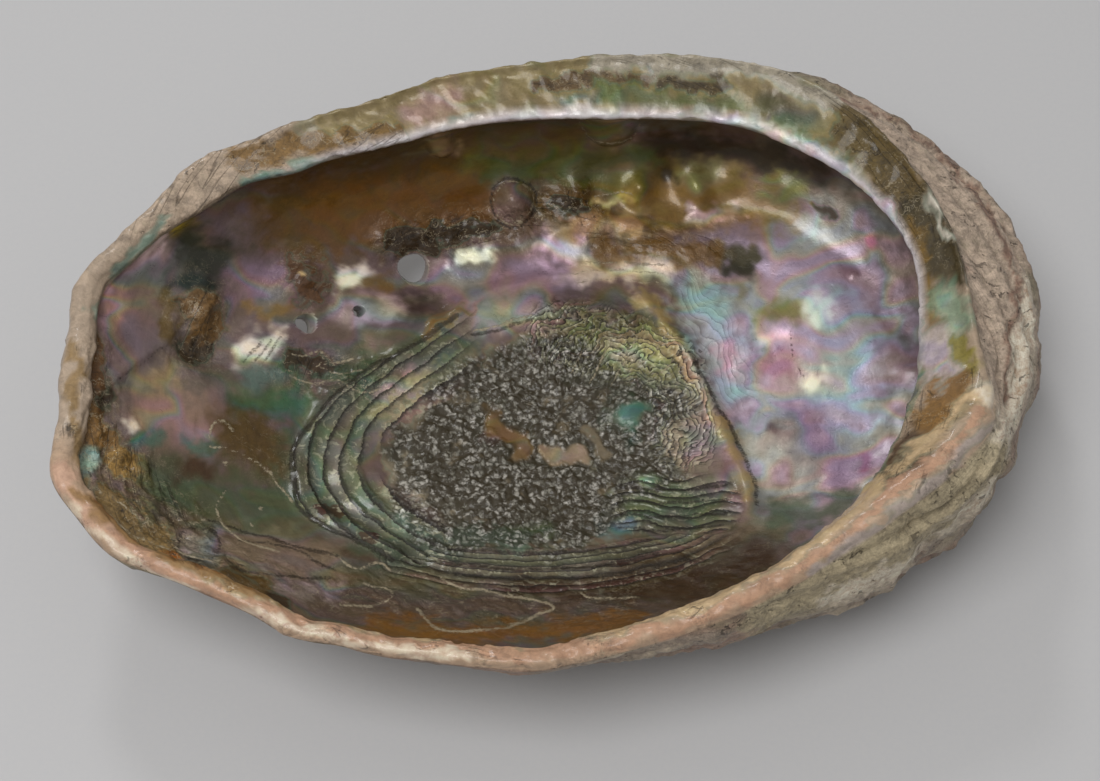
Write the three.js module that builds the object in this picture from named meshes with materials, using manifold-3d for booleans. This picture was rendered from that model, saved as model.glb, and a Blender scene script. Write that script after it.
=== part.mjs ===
// A red abalone shell, 200 mm long, lying on its back with its nacre-lined hollow facing up.
// Millimetres. +Z is up, +X points to the spire end and +Y to the shelf of the inner lip. The
// finished shell is moved so that the middle of its outline in plan is at the origin.
// The shell is one closed surface, swept round a pole near the muscle scar: each compass
// direction has one section, which runs from the pole up the inner wall, over the shelf and
// the lip, and down the outside to the foot. Relief is then raised along the surface normals,
// and the open breathing holes are cut through the wall.

import * as THREE from "three";
import Module from "manifold-3d";
import { mergeVertices } from "three/addons/utils/BufferGeometryUtils.js";

// Resolution of the swept surface.
const COLUMNS = 100;
const INNER_ROWS = 22;
const OUTER_ROWS = 18;

// Poles of the sweep in plan, the height of the floor, and how deep the foot is worn flat.
const INNER_POLE = [2, -5];
const OUTER_POLE = [23, 4];
const FLOOR_HEIGHT = 6.5;
const WORN_FOOT_DEPTH = 0.9;
const WORN_FOOT_REACH = [9, 26];
const EDGE_THICKNESS = 1.6;

// Curves round the shell: pairs of compass direction (degrees, 0 at +X, 90 at +Y) and value.
// Reach of the rim's crest from the inner pole.
const RIM_REACH = [
  [0, 84], [16, 84.5], [36, 83.5], [51, 80.9], [69, 72.9], [90, 66.7], [112, 67], [129, 71],
  [142, 78.5], [150, 86.3], [160, 91.5], [176, 99.3], [190, 101.5], [199, 104], [208, 97.5],
  [221, 86.6], [234, 78.8], [248, 72.8], [264, 69.9], [283, 67.1], [300, 68.2], [316, 71.8],
  [329, 77.5], [338, 83.5], [346, 88],
];
const RIM_HEIGHT = [
  [0, 48], [60, 49], [110, 49], [150, 47], [190, 44.5], [215, 41], [250, 38.5], [280, 39],
  [300, 41], [320, 44], [342, 47.5],
];
// Width of the lip band, between the crest and the shelf or the inner wall.
const LIP_WIDTH = [
  [0, 2.6], [40, 2.2], [90, 2], [130, 2.4], [150, 4], [180, 4.6], [215, 4.4], [240, 3.6],
  [283, 4.2], [305, 5], [322, 6.5], [335, 8.5], [346, 9], [354, 4],
];
// Width of the inner lip's shelf, which fades out past the ends of its arc.
const SHELF_WIDTH = [
  [0, 8.6], [15, 6.2], [32, 8], [45, 11.5], [61, 12.3], [77, 12], [90, 10.3], [114, 8.8],
  [135, 7.6], [152, 6], [164, 2], [180, 1.2], [220, 1.2], [300, 1.2], [322, 1.4], [332, 3],
  [344, 7.5], [353, 9.6],
];
// How far the shelf's inner edge lies below the crest.
const EDGE_DROP = [
  [0, 6.5], [40, 6], [90, 5], [130, 4.5], [160, 3.5], [190, 2.4], [240, 1.8], [300, 2.4],
  [325, 5], [345, 7],
];
// Angles at which the inner and outer arcs end: 90 is upright, more curls back over the hollow.
const INNER_CURL = [
  [0, 132], [30, 128], [60, 126], [90, 116], [120, 108], [145, 97], [165, 83], [190, 70],
  [220, 62], [250, 64], [280, 76], [300, 92], [318, 107], [332, 118], [346, 129],
];
const OUTER_CURL = [
  [0, 122], [15, 125.5], [30, 125], [45, 120], [60, 112], [80, 102], [100, 96], [130, 92],
  [150, 84], [180, 72], [215, 66], [250, 69], [270, 78], [290, 92], [308, 104], [322, 110],
  [335, 110.5], [348, 114],
];
// Fullness of the arcs: 2 is an ellipse, less is flatter, more is boxier.
const INNER_FULLNESS = [
  [0, 2.7], [50, 2.6], [80, 2.3], [105, 2.1], [135, 2], [165, 1.75], [215, 1.78], [260, 2],
  [300, 2.4], [330, 2.5],
];
const OUTER_FULLNESS = [
  [0, 2.2], [60, 2.15], [120, 2.1], [170, 1.9], [215, 1.8], [260, 1.9], [300, 2.1],
];

// Growth lines are nested ovals that all touch near the spire's tip. Plan positions.
const SPIRE_TIP = [70, -30];
const OVAL_CENTRE = [1, -5];
const OVAL_RADII = [100, 68];
const LEDGE_COUNT = 7;
const LEDGE_HEIGHT = 0.9;
const SPIRE_RADIUS = 15;
const SPIRE_HEIGHT = 5.5;
const SUTURE_REACH = 28;
const SUTURE_START = 2.5;
const SUTURE_TURN = 450;
const SUTURE_END = 35;
const SUTURE_DEPTH = 2.4;
const SUTURE_WIDTH = 3.8;

// The row of breathing holes, in plan, from the growing end round to the spire.
const HOLE_ROW = [
  [-72, 3], [-54, 14.8], [-42.8, 19.8], [-30.6, 31.2], [-8.3, 45.6], [16.2, 49.8], [34, 50],
  [52, 45], [68, 33], [80, 12],
];
const OPEN_HOLES = [
  { at: [-30.6, 31.2, 12.5], radius: 3.1 },
  { at: [-54, 14.8, 14.5], radius: 1.9 },
  { at: [-42.8, 19.8, 11.8], radius: 0.9 },
];
const CLOSED_HOLES = [[-8.3, 45.6], [6, 48.5], [20, 50], [34, 50], [48, 46.5], [60, 40], [71, 29]];
const ROW_RIDGE = { width: 7, height: 1.8 };
const ROW_GROOVE = { width: 5, depth: 1.6 };
const CONE_OUTSIDE = { width: 5.5, height: 2 };
const BLISTER_INSIDE = { width: 3.4, height: 1.5 };
const ROW_FADES_AT = [23, 33];
const HOLE_FLARE = 1.3;
const HOLE_SIDES = 18;
const PLUG_LENGTH = 26;

// The muscle scar: a raised rough oval on the floor of the hollow.
const SCAR = { at: [-6, -8], radii: [46, 36], tilt: 4, height: 1.5 };
const SCAR_GRAIN = { size: 4, height: 0.55, share: 0.82 };
// Folds of the inner surface near the growing end: plan lines, width and depth.
const FOLDS = [
  { line: [[-88, -12], [-74, 4], [-66, 14], [-60, 26]], width: 4.5, depth: 1.6 },
  { line: [[-84, -28], [-70, -14], [-58, -6], [-40, 8]], width: 4, depth: 1.2 },
];
const SWELLINGS = [
  { at: [-60, 2], width: 8, height: 1.4 },
  { at: [-72, -14], width: 9, height: 1.6 },
  { at: [50, 8], width: 18, height: 1.2 },
  { at: [28, 38], width: 7, height: 1 },
];
const CRUST = { size: 9, height: 0.7 };
const MARGIN_RAGGEDNESS = 0.9;

const radians = THREE.MathUtils.degToRad;
const smooth = THREE.MathUtils.smoothstep;
const hill = (distance, width) => Math.exp(-((distance / width) ** 2));
const gap = (x, y, [px, py]) => Math.hypot(x - px, y - py);

// Value of a curve round the shell in one direction, by a closed cubic through its pairs.
function around(curve, degrees) {
  const n = curve.length;
  const d = ((degrees % 360) + 360) % 360;
  const knot = (k) => {
    const [angle, value] = curve[((k % n) + n) % n];
    return [angle + 360 * Math.floor(k / n), value];
  };
  const i = curve.filter(([angle]) => angle <= d).length - 1;
  const [[a0, v0], [a1, v1], [a2, v2], [a3, v3]] = [i - 1, i, i + 1, i + 2].map(knot);
  const span = a2 - a1;
  const t = (d - a1) / span;
  const m1 = ((v2 - v0) / (a2 - a0)) * span;
  const m2 = ((v3 - v1) / (a3 - a1)) * span;
  const t2 = t * t;
  const t3 = t2 * t;
  return (2 * t3 - 3 * t2 + 1) * v1 + (t3 - 2 * t2 + t) * m1
    + (3 * t2 - 2 * t3) * v2 + (t3 - t2) * m2;
}

// Smooth lumps of about one size: a product of bent sine waves, from -1 to 1.
function lumps(x, y, z, size) {
  const u = x / size;
  const v = y / size;
  const w = z / size;
  return Math.sin(u + 1.7 * Math.sin(0.9 * v + 0.6)) * Math.sin(1.1 * v + 1.4 * Math.sin(w + 0.8 * u));
}

function distanceToLine(x, y, line) {
  let best = Infinity;
  for (let i = 0; i + 1 < line.length; i++) {
    const [ax, ay] = line[i];
    const [bx, by] = line[i + 1];
    const along = ((x - ax) * (bx - ax) + (y - ay) * (by - ay)) / ((bx - ax) ** 2 + (by - ay) ** 2);
    const t = Math.min(1, Math.max(0, along));
    best = Math.min(best, Math.hypot(x - ax - t * (bx - ax), y - ay - t * (by - ay)));
  }
  return best;
}

// Age of the shell at a plan position: 0 at the spire's tip, 1 at the present rim.
function growthAt(x, y) {
  const [a, b] = OVAL_RADII;
  const ux = (x - SPIRE_TIP[0]) / a;
  const uy = (y - SPIRE_TIP[1]) / b;
  const vx = (OVAL_CENTRE[0] - SPIRE_TIP[0]) / a;
  const vy = (OVAL_CENTRE[1] - SPIRE_TIP[1]) / b;
  const dot = ux * vx + uy * vy;
  const rest = 1 - vx * vx - vy * vy;
  return (-dot + Math.sqrt(dot * dot + rest * (ux * ux + uy * uy))) / rest;
}

// The seam between the whorls: a logarithmic spiral out of the spire's tip.
function sutureLine() {
  const points = [];
  for (let turned = 0; turned <= SUTURE_TURN; turned += 15) {
    const share = turned / SUTURE_TURN;
    const reach = SUTURE_START * (SUTURE_REACH / SUTURE_START) ** share;
    const angle = radians(SUTURE_END - SUTURE_TURN + turned);
    points.push([SPIRE_TIP[0] + reach * Math.cos(angle), SPIRE_TIP[1] + reach * Math.sin(angle)]);
  }
  return points;
}
const SUTURE = sutureLine();

// Relief of the outside, in millimetres outwards.
function outerRelief(x, y, z) {
  const grown = growthAt(x, y) * LEDGE_COUNT * 2 * Math.PI + 0.5 * lumps(x, y, z, 16);
  const ledges = LEDGE_HEIGHT * (0.7 * Math.sin(grown) + 0.3 * Math.sin(2 * grown + 0.6));
  const row = ROW_RIDGE.height * hill(distanceToLine(x, y, HOLE_ROW), ROW_RIDGE.width);
  const centres = [...CLOSED_HOLES, ...OPEN_HOLES.map((hole) => hole.at)];
  const nearest = Math.min(...centres.map((at) => gap(x, y, at)));
  const cones = CONE_OUTSIDE.height * hill(nearest, CONE_OUTSIDE.width);
  const spire = SPIRE_HEIGHT * hill(gap(x, y, SPIRE_TIP), SPIRE_RADIUS);
  const seam = -SUTURE_DEPTH * hill(distanceToLine(x, y, SUTURE), SUTURE_WIDTH);
  const crust = CRUST.height * lumps(x, y, z, CRUST.size);
  const unworn = z > RIM_HEIGHT[0][1] / 2 ? 1 : smooth(gap(x, y, OUTER_POLE), ...WORN_FOOT_REACH);
  const low = 1 - smooth(z, ...ROW_FADES_AT);
  return unworn * (ledges + low * (row + cones) + spire + seam + crust);
}

// How far a plan position lies from the scar's centre: 1 on its border.
function scarShare(x, y) {
  const tilt = radians(SCAR.tilt);
  const dx = x - SCAR.at[0];
  const dy = y - SCAR.at[1];
  const u = (dx * Math.cos(tilt) + dy * Math.sin(tilt)) / SCAR.radii[0];
  const v = (dy * Math.cos(tilt) - dx * Math.sin(tilt)) / SCAR.radii[1];
  return Math.hypot(u, v);
}

// Relief of the inner surface, in millimetres into the hollow.
function innerRelief(x, y, z) {
  const share = scarShare(x, y);
  const scar = SCAR.height * (1 - smooth(share, 0.84, 1.06));
  const grain = SCAR_GRAIN.height * (1 - smooth(share, SCAR_GRAIN.share - 0.1, SCAR_GRAIN.share + 0.05));
  const groove = -ROW_GROOVE.depth * hill(distanceToLine(x, y, HOLE_ROW), ROW_GROOVE.width);
  const nearest = Math.min(...CLOSED_HOLES.map((at) => gap(x, y, at)));
  const blisters = (BLISTER_INSIDE.height + ROW_GROOVE.depth) * hill(nearest, BLISTER_INSIDE.width);
  let folded = 0;
  for (const fold of FOLDS) folded -= fold.depth * hill(distanceToLine(x, y, fold.line), fold.width);
  for (const rise of SWELLINGS) folded += rise.height * hill(gap(x, y, rise.at), rise.width);
  const low = 1 - smooth(z, ...ROW_FADES_AT);
  return scar + grain * lumps(x, y, 0, SCAR_GRAIN.size) + low * (groove + blisters + folded);
}

// Point at share t of a superellipse arc that starts flat at the pole and ends at (reach, rise).
function arcPoint(t, reach, rise, endDegrees, fullness) {
  const power = 2 / fullness;
  const end = radians(endDegrees);
  const phi = t * end;
  const bent = (c) => Math.sign(c) * Math.abs(c) ** power;
  return [
    (reach * Math.sin(phi) ** power) / Math.sin(end) ** power,
    (rise * (1 - bent(Math.cos(phi)))) / (1 - bent(Math.cos(end))),
  ];
}

// Small notches and steps of the thin margin, strongest at the growing end.
function raggedness(degrees) {
  const angle = radians(degrees);
  const wave = Math.sin(11 * angle) + 0.7 * Math.sin(19 * angle + 1) + 0.5 * Math.sin(31 * angle + 2);
  return MARGIN_RAGGEDNESS * wave * hill(degrees - 195, 55);
}

// One section, from the inner pole to the outer pole: [reach, height, side, share of pole shift].
function sectionRows(degrees) {
  const crestReach = around(RIM_REACH, degrees) + raggedness(degrees);
  const crestHeight = around(RIM_HEIGHT, degrees);
  const lip = around(LIP_WIDTH, degrees);
  const shelf = around(SHELF_WIDTH, degrees);
  const drop = around(EDGE_DROP, degrees);
  const edgeReach = crestReach - lip - shelf;
  const edgeHeight = crestHeight - drop;
  const innerFullness = around(INNER_FULLNESS, degrees);
  const outerFullness = around(OUTER_FULLNESS, degrees);
  const rows = [];
  for (let i = 1; i <= INNER_ROWS; i++) {
    const rise = edgeHeight - EDGE_THICKNESS - FLOOR_HEIGHT;
    const curl = around(INNER_CURL, degrees);
    const evened = (i / INNER_ROWS) ** (innerFullness / 2);
    const [r, z] = arcPoint(evened, edgeReach + 0.3, rise, curl, innerFullness);
    rows.push([r, z + FLOOR_HEIGHT, "inside", 0]);
  }
  const lipStart = edgeReach + shelf;
  rows.push(
    [edgeReach - 0.2, edgeHeight, "lip", 0],
    [edgeReach + shelf * 0.35, edgeHeight + drop * 0.28, "lip", 0],
    [edgeReach + shelf * 0.72, edgeHeight + drop * 0.5, "lip", 0],
    [lipStart, crestHeight - drop * 0.3, "lip", 0],
    [lipStart + lip * 0.4, crestHeight, "lip", 0],
    [lipStart + lip * 0.85, crestHeight - 0.3, "lip", 0],
  );
  for (let i = 0; i < OUTER_ROWS; i++) {
    const t = 1 - i / OUTER_ROWS;
    const curl = around(OUTER_CURL, degrees);
    const [r, z] = arcPoint(t, crestReach, crestHeight - 1.6, curl, outerFullness);
    rows.push([r, z - WORN_FOOT_DEPTH, i === 0 ? "lip" : "outside", 1 - smooth(t, 0, 0.9)]);
  }
  return rows;
}

// The swept surface as a closed indexed geometry, and the side that each vertex is on.
function sweptSurface() {
  const positions = [];
  const sides = [];
  let rowCount = 0;
  for (let c = 0; c < COLUMNS; c++) {
    const degrees = (360 * c) / COLUMNS;
    const rows = sectionRows(degrees);
    rowCount = rows.length;
    for (const [r, z, side, shift] of rows) {
      const x = INNER_POLE[0] + (OUTER_POLE[0] - INNER_POLE[0]) * shift + r * Math.cos(radians(degrees));
      const y = INNER_POLE[1] + (OUTER_POLE[1] - INNER_POLE[1]) * shift + r * Math.sin(radians(degrees));
      positions.push(x, y, z);
      sides.push(side);
    }
  }
  positions.push(...INNER_POLE, FLOOR_HEIGHT, ...OUTER_POLE, -WORN_FOOT_DEPTH);
  sides.push("inside", "outside");
  const innerPole = COLUMNS * rowCount;
  const outerPole = innerPole + 1;
  const index = [];
  for (let c = 0; c < COLUMNS; c++) {
    const a = c * rowCount;
    const b = ((c + 1) % COLUMNS) * rowCount;
    index.push(innerPole, a, b);
    for (let r = 0; r + 1 < rowCount; r++) {
      index.push(a + r, a + r + 1, b + r + 1, a + r, b + r + 1, b + r);
    }
    index.push(outerPole, b + rowCount - 1, a + rowCount - 1);
  }
  const geometry = new THREE.BufferGeometry();
  geometry.setAttribute("position", new THREE.Float32BufferAttribute(positions, 3));
  geometry.setIndex(index);
  geometry.computeVertexNormals();
  return { geometry, sides };
}

// Moves each vertex along its normal by the relief of its side, then wears the foot flat at z = 0.
function raiseRelief({ geometry, sides }) {
  const position = geometry.getAttribute("position");
  const normal = geometry.getAttribute("normal");
  const p = new THREE.Vector3();
  const n = new THREE.Vector3();
  for (let i = 0; i < position.count; i++) {
    p.fromBufferAttribute(position, i);
    n.fromBufferAttribute(normal, i);
    const heights = { inside: innerRelief, outside: outerRelief, lip: () => 0 };
    p.addScaledVector(n, heights[sides[i]](p.x, p.y, p.z));
    position.setXYZ(i, p.x, p.y, Math.max(p.z, 0));
  }
  geometry.deleteAttribute("normal");
  return geometry;
}

const wasm = await Module();
wasm.setup();

function toSolid(geometry) {
  const bare = geometry.clone();
  bare.deleteAttribute("normal");
  bare.deleteAttribute("uv");
  const merged = mergeVertices(bare, 1e-4);
  return new wasm.Manifold(new wasm.Mesh({
    numProp: 3,
    vertProperties: merged.getAttribute("position").array,
    triVerts: new Uint32Array(merged.index.array),
  }));
}

function toGeometry(solid) {
  const mesh = solid.getMesh();
  const geometry = new THREE.BufferGeometry();
  geometry.setAttribute("position", new THREE.BufferAttribute(new Float32Array(mesh.vertProperties), 3));
  geometry.setIndex(new THREE.BufferAttribute(new Uint32Array(mesh.triVerts), 1));
  return geometry;
}

// A plug through the wall at a hole: wider at both ends, as the worn edges of the hole are.
function holePlug({ at, radius }) {
  const outwards = new THREE.Vector3(at[0] * 0.35, at[1] * 0.95, -42).normalize();
  const end = radius * HOLE_FLARE + 1;
  const half = PLUG_LENGTH / 2;
  const waist = [[0, -half], [end, -half], [radius, 0], [end, half], [0, half]];
  const plug = new THREE.LatheGeometry(waist.map(([x, y]) => new THREE.Vector2(x, y)), HOLE_SIDES);
  plug.applyQuaternion(new THREE.Quaternion().setFromUnitVectors(new THREE.Vector3(0, 1, 0), outwards));
  plug.translate(...at);
  return toSolid(plug);
}

function shellGeometry() {
  const whole = toSolid(raiseRelief(sweptSurface()));
  const pierced = OPEN_HOLES.reduce((solid, hole) => solid.subtract(holePlug(hole)), whole);
  const geometry = toGeometry(pierced);
  geometry.computeBoundingBox();
  const centre = geometry.boundingBox.getCenter(new THREE.Vector3());
  return geometry.translate(-centre.x, -centre.y, 0);
}

const shell = new THREE.Mesh(
  shellGeometry(),
  new THREE.MeshStandardMaterial({ color: 0x9c9384, roughness: 0.45, metalness: 0.1 }),
);
shell.name = "shell";

const abalone = new THREE.Group();
abalone.add(shell);

export default abalone;
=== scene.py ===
import math

import bpy
import numpy as np
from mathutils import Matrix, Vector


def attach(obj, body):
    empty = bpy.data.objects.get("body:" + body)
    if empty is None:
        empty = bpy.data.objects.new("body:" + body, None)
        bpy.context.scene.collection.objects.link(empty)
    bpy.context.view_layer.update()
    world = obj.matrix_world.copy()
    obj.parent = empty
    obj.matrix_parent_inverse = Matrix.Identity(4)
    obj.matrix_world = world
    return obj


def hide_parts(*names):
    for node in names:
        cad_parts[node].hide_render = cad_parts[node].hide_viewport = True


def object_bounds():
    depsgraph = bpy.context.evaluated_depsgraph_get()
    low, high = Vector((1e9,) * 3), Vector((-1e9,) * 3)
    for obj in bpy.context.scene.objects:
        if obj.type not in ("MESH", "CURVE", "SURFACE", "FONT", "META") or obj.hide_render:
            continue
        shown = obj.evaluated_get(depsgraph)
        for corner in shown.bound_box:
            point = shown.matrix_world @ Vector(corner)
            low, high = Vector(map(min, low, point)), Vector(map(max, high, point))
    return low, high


# A red abalone shell on its back. The CAD's surface is swept again on a finer grid, given its fine
# relief, and painted with marks that are named and placed by their pixels in the photograph.
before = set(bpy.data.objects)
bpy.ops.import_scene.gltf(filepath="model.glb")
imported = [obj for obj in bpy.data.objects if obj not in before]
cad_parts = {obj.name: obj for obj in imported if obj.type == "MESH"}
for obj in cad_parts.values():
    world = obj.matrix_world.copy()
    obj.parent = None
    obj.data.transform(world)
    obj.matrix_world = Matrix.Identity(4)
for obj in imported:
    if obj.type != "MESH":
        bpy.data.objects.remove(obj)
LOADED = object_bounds()
MM = 0.001

# The finer grid.
COLUMNS = 560
INNER_ROWS = 252
FLOOR_ROWS = 158
LIP_ROWS = 26
OUTER_ROWS = 150

# Sizes of the swept surface in millimetres, as the CAD has them.
INNER_POLE = (2, -5)
OUTER_POLE = (23, 4)
FLOOR_HEIGHT = 6.5
WORN_FOOT_DEPTH = 0.9
WORN_FOOT_REACH = (9, 26)
EDGE_THICKNESS = 1.6
CENTRE_SHIFT = np.array((-3.3054, 3.6590, 0.0))
BOX_MARGIN = 0.02
# Vertices this close are the same one, in metres.
SAME_PLACE = 1e-5
# Curves round the shell: compass direction in degrees and value.
RIM_REACH = [
    (0, 84), (16, 84.5), (36, 83.5), (51, 80.9), (69, 72.9), (90, 66.7), (112, 67), (129, 71),
    (142, 78.5), (150, 86.3), (160, 91.5), (176, 99.3), (190, 101.5), (199, 104), (208, 97.5),
    (221, 86.6), (234, 78.8), (248, 72.8), (264, 69.9), (283, 67.1), (300, 68.2), (316, 71.8),
    (329, 77.5), (338, 83.5), (346, 88)]
RIM_HEIGHT = [
    (0, 48), (60, 49), (110, 49), (150, 47), (190, 44.5), (215, 41), (250, 38.5), (280, 39),
    (300, 41), (320, 44), (342, 47.5)]
LIP_WIDTH = [
    (0, 2.6), (40, 2.2), (90, 2), (130, 2.4), (150, 4), (180, 4.6), (215, 4.4), (240, 3.6),
    (283, 4.2), (305, 5), (322, 6.5), (335, 8.5), (346, 9), (354, 4)]
SHELF_WIDTH = [
    (0, 8.6), (15, 6.2), (32, 8), (45, 11.5), (61, 12.3), (77, 12), (90, 10.3), (114, 8.8),
    (135, 7.6), (152, 6), (164, 2), (180, 1.2), (220, 1.2), (300, 1.2), (322, 1.4), (332, 3),
    (344, 7.5), (353, 9.6)]
EDGE_DROP = [
    (0, 6.5), (40, 6), (90, 5), (130, 4.5), (160, 3.5), (190, 2.4), (240, 1.8), (300, 2.4),
    (325, 5), (345, 7)]
INNER_CURL = [
    (0, 132), (30, 128), (60, 126), (90, 116), (120, 108), (145, 97), (165, 83), (190, 70),
    (220, 62), (250, 64), (280, 76), (300, 92), (318, 107), (332, 118), (346, 129)]
OUTER_CURL = [
    (0, 122), (15, 125.5), (30, 125), (45, 120), (60, 112), (80, 102), (100, 96), (130, 92),
    (150, 84), (180, 72), (215, 66), (250, 69), (270, 78), (290, 92), (308, 104), (322, 110),
    (335, 110.5), (348, 114)]
INNER_FULLNESS = [
    (0, 2.7), (50, 2.6), (80, 2.3), (105, 2.1), (135, 2), (165, 1.75), (215, 1.78), (260, 2),
    (300, 2.4), (330, 2.5)]
OUTER_FULLNESS = [(0, 2.2), (60, 2.15), (120, 2.1), (170, 1.9), (215, 1.8), (260, 1.9), (300, 2.1)]

# Growth lines, spire and the row of breathing holes.
SPIRE_TIP = (70, -30)
OVAL_CENTRE = (1, -5)
OVAL_RADII = (100, 68)
LEDGE_COUNT = 7
SUTURE = dict(start=2.5, reach=28, turned=450, end=35, depth=2.4, width=3.8)
HOLE_ROW = [
    (-72, 3), (-54, 14.8), (-42.8, 19.8), (-30.6, 31.2), (-8.3, 45.6), (16.2, 49.8), (34, 50),
    (52, 45), (68, 33), (80, 12)]
OPEN_HOLES = [((-30.6, 31.2, 12.5), 3.1), ((-54, 14.8, 14.5), 1.9), ((-42.8, 19.8, 11.8), 0.9)]
CLOSED_HOLES = [(-8.3, 45.6), (6, 48.5), (20, 50), (34, 50), (48, 46.5), (60, 40), (71, 29)]
HOLE_FLARE = 1.3
PLUG_HALF = 13
ROW_FADES_AT = (23, 33)
SCAR_AT, SCAR_RADII, SCAR_TILT = (-6, -8), (46, 36), 4
FOLDS = [([(-88, -12), (-74, 4), (-66, 14), (-60, 26)], 4.5, 1.6),
         ([(-84, -28), (-70, -14), (-58, -6), (-40, 8)], 4, 1.2)]
SWELLINGS = [((-60, 2), 8, 1.4), ((-72, -14), 9, 1.6), ((50, 8), 18, 1.2), ((28, 38), 7, 1)]

# The camera of the photograph, 1100 by 781 pixels.
PHOTO_SIZE = (1100, 781)
FOCAL_PIXELS = 2115
ORIGIN_PIXEL = (549, 372)
CAMERA_TILT = math.radians(30)
CAMERA_DISTANCE = 450
CAMERA_TARGET = np.array((0.0, 0.0, 20.0))

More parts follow.
